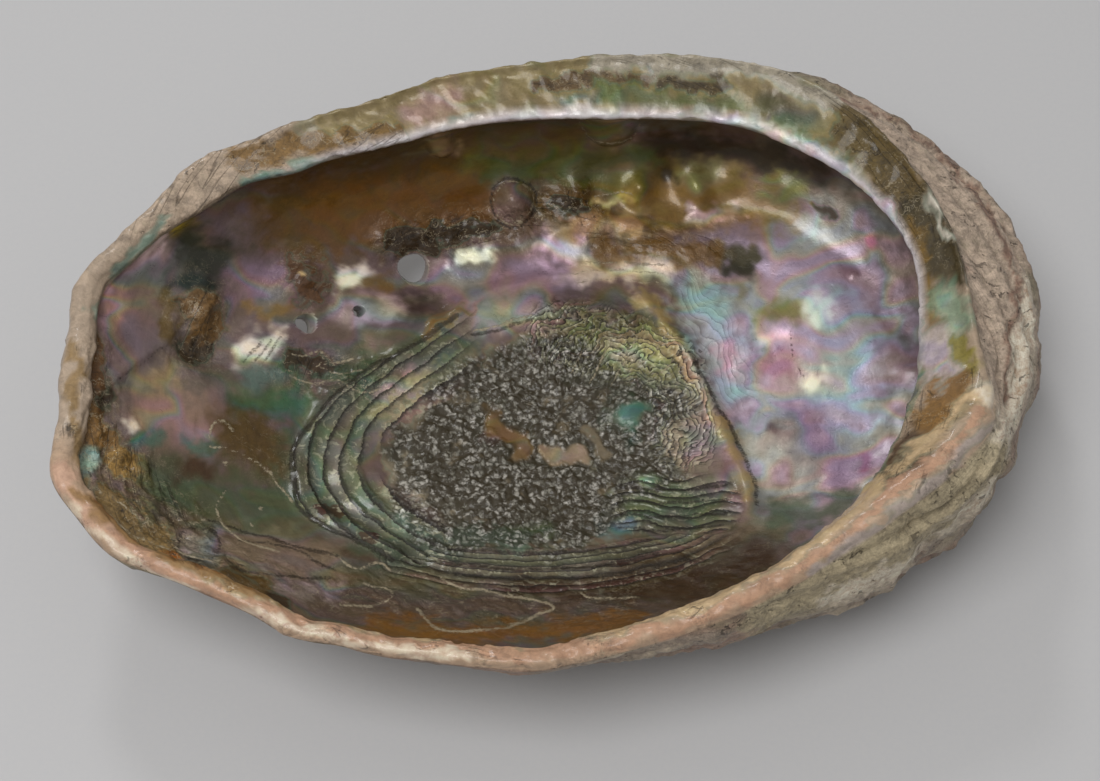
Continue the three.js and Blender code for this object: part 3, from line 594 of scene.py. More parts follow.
def swept_grid():
    """Rows by columns of positions, from the inner pole over the lip to the outer pole."""
    degrees = np.arange(COLUMNS) * 360 / COLUMNS
    angle = np.radians(degrees)
    ragged = 0.9 * hill(degrees - 195, 55) * (
        np.sin(11 * angle) + 0.7 * np.sin(19 * angle + 1) + 0.5 * np.sin(31 * angle + 2))
    crest, height = around(RIM_REACH, degrees) + ragged, around(RIM_HEIGHT, degrees)
    lip, shelf, drop = (around(c, degrees) for c in (LIP_WIDTH, SHELF_WIDTH, EDGE_DROP))
    edge, edge_height = crest - lip - shelf, height - drop
    fullness, curl = around(INNER_FULLNESS, degrees), around(INNER_CURL, degrees)
    outer_fullness, outer_curl = around(OUTER_FULLNESS, degrees), around(OUTER_CURL, degrees)
    reach, level, shift = [], [], []
    for i in range(1, INNER_ROWS + 1):
        t = (i / INNER_ROWS) ** (fullness / 2)
        r, z = arc(t, edge + 0.3, edge_height - EDGE_THICKNESS - FLOOR_HEIGHT, curl, fullness)
        reach.append(r), level.append(z + FLOOR_HEIGHT), shift.append(0 * r)
    r0, z0 = arc(1 + 0 * crest, crest, height - EDGE_THICKNESS, outer_curl, outer_fullness)
    stations = [
        (reach[-1], level[-1]), (edge - 0.2, edge_height), (edge + shelf * 0.35, edge_height + drop * 0.28),
        (edge + shelf * 0.72, edge_height + drop * 0.5), (edge + shelf, height - drop * 0.3),
        (edge + shelf + lip * 0.4, height), (edge + shelf + lip * 0.85, height - 0.3), (r0, z0 - WORN_FOOT_DEPTH)]
    for k in range(1, LIP_ROWS + 1):
        along = k / (LIP_ROWS + 1) * (len(stations) - 1)
        i, t = int(along), along - int(along)
        (ra, za), (rb, zb) = stations[i], stations[i + 1]
        reach.append(ra + (rb - ra) * t), level.append(za + (zb - za) * t), shift.append(0 * ra)
    for i in range(OUTER_ROWS):
        t = 1 - i / OUTER_ROWS
        r, z = arc(t, crest, height - EDGE_THICKNESS, outer_curl, outer_fullness)
        reach.append(r), level.append(z - WORN_FOOT_DEPTH), shift.append(0 * r + 1 - smooth(t, 0, 0.9))
    r, z, s = (np.array(v) for v in (reach, level, shift))
    x = INNER_POLE[0] + (OUTER_POLE[0] - INNER_POLE[0]) * s + r * np.cos(angle)
    y = INNER_POLE[1] + (OUTER_POLE[1] - INNER_POLE[1]) * s + r * np.sin(angle)
    grid = np.stack([x, y, z], -1)
    first, last = INNER_ROWS - 2, INNER_ROWS + LIP_ROWS + 2
    for _ in range(3):
        band = grid[first - 1:last + 1]
        grid[first:last] = (band[:-2] + 2 * band[1:-1] + band[2:]) / 4
    return grid


def grid_normals(grid):
    along = np.gradient(grid, axis=0)
    round_ = np.roll(grid, -1, 1) - np.roll(grid, 1, 1)
    n = np.cross(along, round_)
    return n / np.maximum(np.linalg.norm(n, axis=2), 1e-9)[..., None]


def lumps(x, y, z, size):
    u, v, w = x / size, y / size, z / size
    return np.sin(u + 1.7 * np.sin(0.9 * v + 0.6)) * np.sin(1.1 * v + 1.4 * np.sin(w + 0.8 * u))


def growth_at(x, y):
    """Age of the shell at a plan position: 0 at the spire's tip, 1 at the rim."""
    a, b = OVAL_RADII
    ux, uy = (x - SPIRE_TIP[0]) / a, (y - SPIRE_TIP[1]) / b
    vx, vy = (OVAL_CENTRE[0] - SPIRE_TIP[0]) / a, (OVAL_CENTRE[1] - SPIRE_TIP[1]) / b
    dot, rest = ux * vx + uy * vy, 1 - vx * vx - vy * vy
    return (-dot + np.sqrt(dot * dot + rest * (ux * ux + uy * uy))) / rest


def suture_line():
    points = []
    for turned in range(0, SUTURE["turned"] + 1, 15):
        reach = SUTURE["start"] * (SUTURE["reach"] / SUTURE["start"]) ** (turned / SUTURE["turned"])
        angle = math.radians(SUTURE["end"] - SUTURE["turned"] + turned)
        points.append((SPIRE_TIP[0] + reach * math.cos(angle), SPIRE_TIP[1] + reach * math.sin(angle)))
    return points


def nearest_of(xy, centres):
    return np.min([np.hypot(xy[:, 0] - c[0], xy[:, 1] - c[1]) for c in centres], axis=0)


def scar_share(xy):
    tilt = math.radians(SCAR_TILT)
    d = xy - np.array(SCAR_AT)
    u = (d[:, 0] * math.cos(tilt) + d[:, 1] * math.sin(tilt)) / SCAR_RADII[0]
    v = (d[:, 1] * math.cos(tilt) - d[:, 0] * math.sin(tilt)) / SCAR_RADII[1]
    return np.hypot(u, v)


def outer_relief(p):
    """The CAD's relief of the outside and, on top of it, fine growth lines, pits and crust."""
    x, y, z = p.T
    xy = p[:, :2]
    age = growth_at(x, y)
    grown = age * LEDGE_COUNT * 2 * math.pi + 0.5 * lumps(x, y, z, 16)
    ledges = 0.9 * (0.7 * np.sin(grown) + 0.3 * np.sin(2 * grown + 0.6))
    row = 1.8 * hill(to_line(xy, HOLE_ROW), 7)
    cones = 2 * hill(nearest_of(xy, CLOSED_HOLES + [at for at, _ in OPEN_HOLES]), 5.5)
    spire = 5.5 * hill(np.hypot(x - SPIRE_TIP[0], y - SPIRE_TIP[1]), 15)
    seam = -SUTURE["depth"] * hill(to_line(xy, suture_line()), SUTURE["width"])
    crust = 0.7 * lumps(x, y, z, 9)
    foot = smooth(np.hypot(x - OUTER_POLE[0], y - OUTER_POLE[1]), *WORN_FOOT_REACH)
    unworn = np.where(z > 24, 1, foot)
    low = 1 - smooth(z, *ROW_FADES_AT)
    lines = 0.4 * np.sin(age * 78 + 2.2 * noise(p, 14, 3)) * (0.6 + 0.5 * noise(p, 20, 4))
    rough = 0.7 * ridged(p, 8, 5) * smooth(noise(p, 30, 6), -0.3, 0.4) + 0.4 * layered(p, 3.5, 8)
    pits = -0.6 * smooth(0.34 - cells(p, 4, 1), 0, 0.2) * smooth(noise(p, 18, 9), -0.1, 0.3)
    return unworn * (ledges + low * (row + cones) + spire + seam + crust + lines + rough - 0.35 + pits)


def inner_relief(p, at):
    """The CAD's relief of the inside and, on top of it, the ridges and knobs seen in the photograph."""
    x, y, z = p.T
    xy = p[:, :2]
    share = scar_share(xy)
    scar = 1.5 * (1 - smooth(share, 0.84, 1.06))
    low = 1 - smooth(z, *ROW_FADES_AT)
    groove = -1.6 * hill(to_line(xy, HOLE_ROW), 5)
    blisters = 3.1 * hill(nearest_of(xy, CLOSED_HOLES[:4]), 3.4)
    folded = sum(-depth * hill(to_line(xy, line), width) for line, width, depth in FOLDS)
    folded = folded + sum(h * hill(np.hypot(x - c[0], y - c[1]), w) for c, w, h in SWELLINGS)
    height = scar + low * (groove + blisters + folded)
    for _, rise, radius, line in INSIDE_RIDGES:
        near, d = near_line(at, line, radius * 2.4)
        height[near] += rise * hill(d, radius)
    for _, rise, radius, place in INSIDE_KNOBS:
        near, d = near_line(at, [place], radius)
        height[near] += rise * np.sqrt(np.clip(1 - (d / radius) ** 2, 0, 1))
    crusty = crustiness(at)
    grainy = graininess(p, at)
    granules = 0.5 - cells(p + 0.5 * noise(p, 1.5, 5)[:, None], 1.75, 2)
    height += grainy * (0.9 * granules + 0.35 * lumps(x, y, 0 * z, 4))
    height += crusty * (0.55 * ridged(p, 6.5, 11) + 0.3 * layered(p, 2.6, 14))
    height += (1 - crusty) * 0.28 * layered(p, 9, 17, 2)
    for zone, phase, rise in banded_zones(p, at):
        height += zone * rise * (phase % 1)
    return height


def crustiness(at):
    """1 on the crusty spots and at the growing end, 0 on smooth nacre."""
    spots = [
        (0.8, 22, [(395, 240), (440, 234), (490, 226), (560, 204), (585, 206)]),
        (1.0, 34, [(78, 360), (84, 430), (130, 490), (180, 550)]),
        (0.7, 30, [(200, 300), (195, 350)]),
        (0.25, 26, [(250, 440), (290, 470)]),
        (0.9, 24, [(290, 362), (380, 386)]),
        (0.3, 26, [(230, 560), (330, 590), (480, 612), (620, 606)]),
        (0.5, 26, [(300, 275), (315, 290)]),
        (0.5, 20, [(600, 240), (710, 245)]),
        (0.2, 40, [(110, 490), (240, 570), (480, 610), (640, 600), (760, 560)]),
    ]
    return np.clip(sum(amount * hill(to_line(at, line), radius) for amount, radius, line in spots), 0, 1)


def graininess(p, at):
    """1 on the rough granules of the muscle scar."""
    at = at + 9 * drift(p, 6, 31, 35)
    field = [(444, 446), (500, 412), (560, 392), (610, 440), (560, 496), (450, 494), (500, 450), (640, 440)]
    smooth_spots = [
        (11, [(492, 424), (518, 444)]), (9, [(544, 452), (584, 461)]), (26, [(402, 402)]),
        (17, [(627, 413)]), (28, [(690, 445)]), (11, [(649, 481)]), (6, [(590, 430), (606, 456)])]
    amount = 1 - smooth(to_line(at, field), 50, 64)
    for radius, line in smooth_spots:
        amount *= smooth(to_line(at, line), radius * 0.6, radius * 1.3)
    return amount


SCAR_LEFT_EDGE = [line for name, _, line in DARK_LINES if name == "scar boundary"][0]
# Straight courses of the scar's left edge: a place on each and the direction inwards.
SCAR_LEFT_COURSES = [((456, 312), (0.565, 0.825)), ((298, 470), (1, 0)), ((300, 511), (0.485, -0.875))]
SCAR_LOWER_EDGE = [(393, 560), (470, 576), (560, 578), (650, 566), (720, 540), (756, 506)]
SCAR_UPPER_EDGE = [(758, 505), (736, 438), (714, 397), (690, 352), (639, 293), (560, 280), (505, 288), (458, 316)]
RING_SPACING = 12
RING_ROUNDING = 24
FEATHER_CENTRE = (627, 413)
FEATHER_SPACING = 6.5
STRIPE_SPACING = 9.5


def within(at, outline):
    """True for the places inside a closed outline."""
    ring = np.array(outline, float)
    odd = np.zeros(len(at), bool)
    for (ax, ay), (bx, by) in zip(ring, np.roll(ring, -1, 0)):
        if ay != by:
            crosses = (at[:, 1] > ay) != (at[:, 1] > by)
            odd ^= crosses & (at[:, 0] < ax + (at[:, 1] - ay) / (by - ay) * (bx - ax))
    return odd


def banded_zones(p, at):
    """Zones of nested lines: share of the zone, number of lines passed, and height of each step."""
    bent = at + 2.5 * drift(p, 7, 51, 53)
    edge = to_line(bent, curved(SCAR_LEFT_EDGE))
    in_scar = within(bent, curved(SCAR_LEFT_EDGE) + SCAR_LOWER_EDGE + SCAR_UPPER_EDGE)
    left = in_scar * (1 - smooth(bent[:, 0], 430, 490)) * (1 - smooth(edge, 56, 72))
    depths = [(bent - np.array(place)) @ np.array(inwards) for place, inwards in SCAR_LEFT_COURSES]
    rounded = -RING_ROUNDING * np.log(sum(np.exp(-depth / RING_ROUNDING) for depth in depths))
    yield left, rounded / (RING_SPACING + 3 * noise(p, 25, 66)), 0.3
    turn = bent - np.array(FEATHER_CENTRE)
    around_knob = np.arctan2(turn[:, 1], turn[:, 0])
    zigzag = np.abs((around_knob * 12 / math.pi) % 2 - 1)
    away = np.hypot(*turn.T)
    upper = smooth(away, 22, 30) * hill(to_line(at, [(560, 335), (620, 345), (672, 372), (684, 440)]), 42)
    upper = smooth(upper, 0.3, 0.75) * (1 - smooth(at[:, 1], 460, 480))
    broken = 0.5 * np.floor(3 * noise(p, 4.5, 71))
    yield upper, away / FEATHER_SPACING + 1.1 * zigzag + 0.8 * layered(p, 4, 57, 2) + broken, 0.45
    lower = 1 - smooth(to_line(at, [(640, 505), (712, 505)]), 24, 34)
    yield lower, bent[:, 1] / STRIPE_SPACING + 0.4 * np.sin(bent[:, 0] / 14), 0.3
    ripples = 0.3 * hill(to_line(at, [(692, 292), (714, 335), (732, 385)]), 24) * ~in_scar
    yield ripples, to_line(bent, SCAR_UPPER_EDGE[:5]) / 7 + 1.5 * layered(p, 8, 59, 2), 0.06
    below = to_line(bent, curved(SCAR_LOWER_EDGE))
    under = np.where(in_scar, 1 - smooth(below, 22, 34), 0.8 * (1 - smooth(below, 10, 22)))
    under = under * smooth(at[:, 0], 350, 410) * (1 - smooth(at[:, 0], 700, 750))
    yield under * (1 - lower), below / 6, 0.25


def lip_relief(p, at):
    """Flakes and pits of the shelf and the lip."""
    crusty = crustiness(at) * smooth(-p[:, 0], 20, 50)
    pits = -0.4 * smooth(0.36 - cells(p, 3.6, 4), 0, 0.2) * smooth(noise(p, 12, 22), 0, 0.4)
    sheets = ridged(p * (1, 1, 0.3) + 2 * noise(p, 9, 29)[:, None], 5, 28, 2)
    return pits + 0.35 * layered(p, 8, 23) - 0.3 + 0.25 * sheets + crusty * 0.4 * ridged(p, 5, 27)


def camera_place():
    return CAMERA_TARGET + CAMERA_DISTANCE * np.array((0, -math.sin(CAMERA_TILT), math.cos(CAMERA_TILT)))


def project(p):
    """Where places of the CAD's own millimetres show in the photograph, in pixels."""
    forward = np.array((0, math.sin(CAMERA_TILT), -math.cos(CAMERA_TILT)))
    up = np.array((0, math.cos(CAMERA_TILT), math.sin(CAMERA_TILT)))
    d = p - camera_place()
    depth = d @ forward
    return np.stack([ORIGIN_PIXEL[0] + FOCAL_PIXELS * d[:, 0] / depth,
                     ORIGIN_PIXEL[1] - FOCAL_PIXELS * (d @ up) / depth], -1)


# Paint.
def lay_marks(tint, pearl, marks, at, wander):
    """Lays marks over the colours: pearl blends softly, and crust has a ragged border."""
    for _, tone, gloss, radius, line in marks:
        near, d = near_line(at, line, radius * 1.9 + 6)
        d = d + wander[near] * (0.3 * radius + 2.5)
        cover = 0.92 * (1 - smooth(d, radius * (0.75 - 0.55 * gloss) - 1, radius * (1.2 + 0.4 * gloss) + 1))
        tint[near] += (linear(tone) - tint[near]) * cover[:, None]
        pearl[near] += (gloss - pearl[near]) * cover


def line_field(lines, at):
    """Distance beyond the nearest line's half width, in pixels."""
    field = np.full(len(at), LINE_REACH)
    for _, half, line in lines:
        near, d = near_line(at, line, half + LINE_REACH)
        field[near] = np.minimum(field[near], d - half)
    return field


def paint(p, side, facing):
    """Colour, pearl, grain and line distances for each vertex of one side."""
    at = project(p)
    bend = drift(p, 6, 31, 35)
    moved = at + bend * MARK_WANDER
    wander = layered(p, 2.4, 41, 2)
    pearl = np.full(len(p), 0.9 if side == "inside" else 0.2)
    base = {"inside": "#85787a", "lip": "#a5988a", "outside": "#94877c"}[side]
    tint = np.tile(linear(base), (len(p), 1))
    grain = graininess(p, at) if side == "inside" else np.zeros(len(p))
    if side == "outside":
        age = growth_at(p[:, 0], p[:, 1])
        band = np.sin(age * 44 + 2 * noise(p, 20, 44))
        for code, amount in (("#8f6b5a", smooth(band, 0.2, 0.9) * 0.45), ("#a9a08f", smooth(-band, 0.1, 0.9) * 0.6),
                             ("#77735c", smooth(layered(p, 18, 45), 0.1, 0.6) * 0.7)):
            tint += (linear(code) - tint) * amount[:, None]
        marked, gloss = tint.copy(), pearl.copy()
        lay_marks(marked, gloss, OUTSIDE_MARKS, moved, wander)
        tint += (marked - tint) * facing[:, None]
        pearl += (gloss - pearl) * facing
    else:
        lay_marks(tint, pearl, INSIDE_MARKS if side == "inside" else LIP_MARKS, moved, wander)
    dark, pale = np.full(len(p), LINE_REACH), np.full(len(p), LINE_REACH)
    bands, phase = np.zeros(len(p)), np.zeros(len(p))
    crust = np.full(len(p), 0.6 if side == "outside" else 0.12)
    if side == "lip":
        crust = np.maximum(crust, 0.6 * smooth(0.35 - pearl, 0, 0.15) * smooth(p[:, 1], 0, 25))
        crust = np.maximum(crust, 0.7 * smooth(layered(p, 7, 62), -0.1, 0.5) * smooth(-p[:, 1], -10, 20))
    if side == "inside":
        dark = line_field(DARK_LINES, at + bend * LINE_WANDER)
        pale = line_field(PALE_LINES, at + bend * LINE_WANDER)
        crust = crustiness(at)
        for zone, lines, _ in banded_zones(p, at):
            phase = np.where(zone > bands, lines, phase)
            bands = np.maximum(bands, zone)
    tint = tint ** TONE_CONTRAST[side] * np.array(TONE_BALANCE[side])
    grey = tint @ np.array((0.3, 0.6, 0.1))
    tint = grey[:, None] + (tint - grey[:, None]) * SATURATION[side]
    return dict(tint=np.column_stack([tint, crust]), marks=np.column_stack([pearl, grain, bands]),
                lines=np.column_stack([dark, pale, phase]))


# Building the meshes.
def make_mesh(name, verts, corners, sizes):
    """A mesh from places, the corners of one face after the other, and each face's number of corners."""
    mesh = bpy.data.meshes.new(name)
    mesh.vertices.add(len(verts))
    mesh.vertices.foreach_set("co", np.ascontiguousarray(verts, np.float32).ravel())
    mesh.loops.add(len(corners))
    mesh.loops.foreach_set("vertex_index", np.asarray(corners, np.int32))
    mesh.polygons.add(len(sizes))
    mesh.polygons.foreach_set("loop_start", (np.cumsum(sizes) - sizes).astype(np.int32))
    mesh.update(calc_edges=True)
    return mesh


def in_scene(name, data):
    """A new object in the scene."""
    obj = bpy.data.objects.new(name, data)
    bpy.context.scene.collection.objects.link(obj)
    return obj


def grid_faces(rows):
    """Triangles of the closed grid with its two poles, wound as in the CAD."""
    r = np.arange(rows - 1)[:, None]
    c = np.arange(COLUMNS)[None, :]
    n = (c + 1) % COLUMNS
    a, b = r * COLUMNS + c, (r + 1) * COLUMNS + c
    e, d = (r + 1) * COLUMNS + n, r * COLUMNS + n
    one = np.stack([a, b, e], -1).reshape(-1, 3)
    two = np.stack([a, e, d], -1).reshape(-1, 3)
    inner, outer = rows * COLUMNS, rows * COLUMNS + 1
    c, n = c[0], n[0]
    fan = np.stack([np.full(COLUMNS, inner), c, n], -1)
    last = (rows - 1) * COLUMNS
    close = np.stack([np.full(COLUMNS, outer), last + n, last + c], -1)
    return np.concatenate([fan, one, two, close])


def add_plug(at, radius):
    """A lathed cutter through the wall, wider at both ends and leaning outwards as it goes down."""
    axis = np.array((at[0] * 0.35, at[1] * 0.95, -42.0))
    axis /= np.linalg.norm(axis)
    side = np.cross(axis, (0, 0, 1.0))
    side /= np.linalg.norm(side)
    other = np.cross(axis, side)
    sides, steps = 48, 13
    verts = []
    for k in range(steps):
        along = -PLUG_HALF + 2 * PLUG_HALF * k / (steps - 1)
        width = radius + (radius * (HOLE_FLARE - 1) + 1) * abs(along) / PLUG_HALF
        for s in range(sides):
            turn = 2 * math.pi * s / sides
            wave = 1 + 0.06 * math.sin(3 * turn + radius)
            out = side * math.cos(turn) + other * math.sin(turn)
            verts.append(np.array(at) + axis * along + out * width * wave)
    faces = [tuple(range(sides))[::-1]]
    for k in range(steps - 1):
        for s in range(sides):
            t = (s + 1) % sides
            faces.append((k * sides + s, k * sides + t, (k + 1) * sides + t, (k + 1) * sides + s))
    faces.append(tuple(range((steps - 1) * sides, steps * sides)))
    places = (np.array(verts) + CENTRE_SHIFT) * MM
    return in_scene("plug", make_mesh("plug", places, np.concatenate(faces), [len(f) for f in faces]))


def cut_holes(mesh):
    """The mesh with the open breathing holes cut through it."""
    whole = in_scene("whole", mesh)
    plugs = [add_plug(at, radius) for at, radius in OPEN_HOLES]
    for plug in plugs:
        cut = whole.modifiers.new("cut", "BOOLEAN")
        cut.operation, cut.solver, cut.object = "DIFFERENCE", "MANIFOLD", plug
    done = bpy.data.meshes.new_from_object(whole.evaluated_get(bpy.context.evaluated_depsgraph_get()))
    for obj in plugs + [whole]:
        bpy.data.objects.remove(obj)
    return done


def read(items, name, width, kind=np.float32):
    out = np.empty(len(items) * width, kind)
    items.foreach_get(name, out)
    return out.reshape(-1, width) if width > 1 else out


def grown_grid():
    """All vertices with their relief, the poles last, and the row and the plain normal of each."""
    grid = swept_grid()
    normals = grid_normals(grid).reshape(-1, 3)
    p = grid.reshape(-1, 3)
    row = np.repeat(np.arange(len(grid)), COLUMNS)
    inside, outside = row < INNER_ROWS, row >= INNER_ROWS + LIP_ROWS
    lip = ~(inside | outside)
    at = project(p)
    height = np.zeros(len(p))
    height[inside] = inner_relief(p[inside], at[inside])
    height[lip] = lip_relief(p[lip], at[lip])
    height[outside] = outer_relief(p[outside])
    edge_out = smooth(row, INNER_ROWS + LIP_ROWS - 1, INNER_ROWS + LIP_ROWS + 8)
    edge_in = 1 - smooth(row, INNER_ROWS - 14, INNER_ROWS - 1)
    height *= np.where(outside, edge_out, np.where(inside, edge_in, 1))
    p = p + normals * height[:, None]
    poles = [(*INNER_POLE, p[:COLUMNS, 2].mean()), (*OUTER_POLE, 0)]
    low, high = (np.array(v) / MM - CENTRE_SHIFT for v in LOADED)
    p = np.clip(np.concatenate([p, poles]), low + BOX_MARGIN, high - BOX_MARGIN)
    p[:, 2] = np.maximum(p[:, 2], BOX_MARGIN)
    row = np.concatenate([row, [0, len(grid) - 1]])
    return p, row, np.concatenate([normals, [(0, 0, 1), (0, 0, -1)]])


def coat_of(p, row, normals):
    """What the materials read at each vertex: tint with crust, marks, lines and flow."""
    side = np.searchsorted([INNER_ROWS, INNER_ROWS + LIP_ROWS], row, side="right")
    coat = dict(tint=np.zeros((len(p), 4)), marks=np.zeros((len(p), 3)), lines=np.zeros((len(p), 3)))
    sight = camera_place() - p
    facing = np.einsum("ij,ij->i", sight / np.linalg.norm(sight, axis=1)[:, None], normals)
    facing = smooth(facing + 0.1 * noise(p, 9, 61), 0.0, 0.35)
    for k, name in enumerate(("inside", "lip", "outside")):
        own = side == k
        for key, values in paint(p[own], name, facing[own]).items():
            coat[key][own] = values
    # The shelf's silvery inner edge: partly its own pale nacre, partly a painted highlight along the rounded edge.
    shine = np.clip(1.2 - np.abs(row - INNER_ROWS - 2) / 3, 0, 1)
    shine = 0.85 * shine * smooth(p[:, 1] + 0.35 * p[:, 0], 8, 30)
    coat["tint"][:, :3] += (linear(SHELF_EDGE_TONE) - coat["tint"][:, :3]) * shine[:, None]
    # Flow: long round the shell, and short across its growth.
    turn = p[:, :2] - np.array(INNER_POLE)
    reach = np.maximum(np.hypot(*turn.T), 1)
    across = np.where(side == 2, growth_at(p[:, 0], p[:, 1]) * 70, reach + 0.6 * p[:, 2])
    coat["flow"] = np.column_stack([turn / reach[:, None] * 9, across])
    return coat


def build_pieces():
    """The floor, the wall with the lip, and the outside, cut from one pierced mesh that shades them all."""
    p, row, normals = grown_grid()
    coat = coat_of(p, row, normals)
    own = (p + CENTRE_SHIFT) * MM
    faces = grid_faces(row[-1] + 1)
    mesh = make_mesh("whole", own, faces.ravel(), np.full(len(faces), 3))
    number = mesh.attributes.new("number", "INT", "POINT")
    number.data.foreach_set("value", np.arange(len(p), dtype=np.int32))
    cut = cut_holes(mesh)
    cut.update()
    verts = read(cut.vertices, "co", 3)
    shade = read(cut.vertices, "normal", 3)
    # The vertices that the cut made take the row and the coat of the nearest old one.
    origin = read(cut.attributes["number"].data, "value", 1, np.int32)
    strays = np.linalg.norm(own[np.clip(origin, 0, len(own) - 1)] - verts, axis=1)
    drilled = strays > SAME_PLACE
    for v in np.nonzero(drilled)[0]:
        origin[v] = np.argmin(((own - verts[v]) ** 2).sum(1))
    starts = read(cut.polygons, "loop_start", 1, np.int32)
    sizes = read(cut.polygons, "loop_total", 1, np.int32)
    corners = read(cut.loops, "vertex_index", 1, np.int32)
    face_row = np.maximum.reduceat(row[origin][corners], starts)
    zone = np.searchsorted([FLOOR_ROWS, INNER_ROWS + LIP_ROWS], face_row, side="right")
    pieces = []
    for k, name in enumerate(("shell_floor", "shell_wall", "shell_outside")):
        used, parts = np.unique(corners[np.repeat(zone == k, sizes)], return_inverse=True)
        mesh = make_mesh(name, verts[used], parts, sizes[zone == k])
        mesh.polygons.foreach_set("use_smooth", np.ones(len(mesh.polygons), bool))
        mesh.normals_split_custom_set_from_vertices(shade[used])
        source = origin[used]
        colours = np.where(drilled[used][:, None], (*linear(BORE_TONE), 0), coat["tint"][source])
        mesh.attributes.new("tint", "FLOAT_COLOR", "POINT").data.foreach_set("color", colours.ravel())
        for key in ("marks", "lines", "flow"):
            values = coat[key][source].ravel()
            mesh.attributes.new(key, "FLOAT_VECTOR", "POINT").data.foreach_set("vector", values)
        pieces.append(in_scene(name, mesh))
    return pieces


# Materials.
class Graph:
    """Adds nodes to one material and links them; numbers and colours set plain values."""

    def __init__(self, name):
        self.material = bpy.data.materials.new(name)
        self.material.use_nodes = True
        self.tree = self.material.node_tree
        self.shader = self.tree.nodes["Principled BSDF"]

    def add(self, kind, sockets=None, out=0, **settings):
        node = self.tree.nodes.new(kind)
        for key, value in settings.items():
            setattr(node, key, value)
        for key, value in (sockets or {}).items():
            self.put(node.inputs[key], value)
        return node.outputs[out]

    def put(self, socket, value):
        if isinstance(value, bpy.types.NodeSocket):
            self.tree.links.new(value, socket)
        else:
            socket.default_value = value

    def math(self, operation, a, b=0.0, c=0.0):
        return self.add("ShaderNodeMath", {0: a, 1: b, 2: c}, operation=operation)

    def ramp(self, value, low, high):
        return self.add("ShaderNodeMapRange", {0: value, 1: low, 2: high, 3: 0.0, 4: 1.0},
                        interpolation_type="SMOOTHSTEP")

    def fade(self, value, low, high):
        return self.math("SUBTRACT", 1.0, self.ramp(value, low, high))

    def centred(self, value):
        return self.math("SUBTRACT", value, 0.5)

    def times(self, a, b):
        return self.math("MULTIPLY", a, b)

    def scaled(self, a, b, c):
        """a times b, plus c."""
        return self.math("MULTIPLY_ADD", a, b, c)

    def pushed(self, where, by, amount):
        """A place pushed along by a colour's three channels."""
        return self.add("ShaderNodeVectorMath", {0: by, 1: (amount, amount, amount), 2: where},
                        operation="MULTIPLY_ADD")

    def attribute(self, name, out=1):
        return self.add("ShaderNodeAttribute", attribute_name=name, out=out)

    def noise(self, where, scale, detail=3.0, rough=0.55, out=0):
        sockets = {"Vector": where, "Scale": scale, "Detail": detail, "Roughness": rough}
        return self.add("ShaderNodeTexNoise", sockets, out)

    def relief(self, strength, distance, height):
        """Bumps the surface; the distance is in metres."""
        bump = self.add("ShaderNodeBump", {"Strength": strength, "Distance": distance, "Height": height})
        self.put(self.shader.inputs["Normal"], bump)

    def mix(self, factor, a, b, blend="MIX"):
        node = self.tree.nodes.new("ShaderNodeMix")
        node.data_type, node.blend_type = "RGBA", blend
        self.put(node.inputs[0], factor)
        self.put(node.inputs[6], a)
        self.put(node.inputs[7], b)
        return node.outputs[2]


def rgba(code):
    return (*linear(code), 1.0)


HUES = ["#8a7a68", "#9c8088", "#8d86a0", "#6f9490", "#859a72", "#a8996c", "#a88482", "#8f8298"]


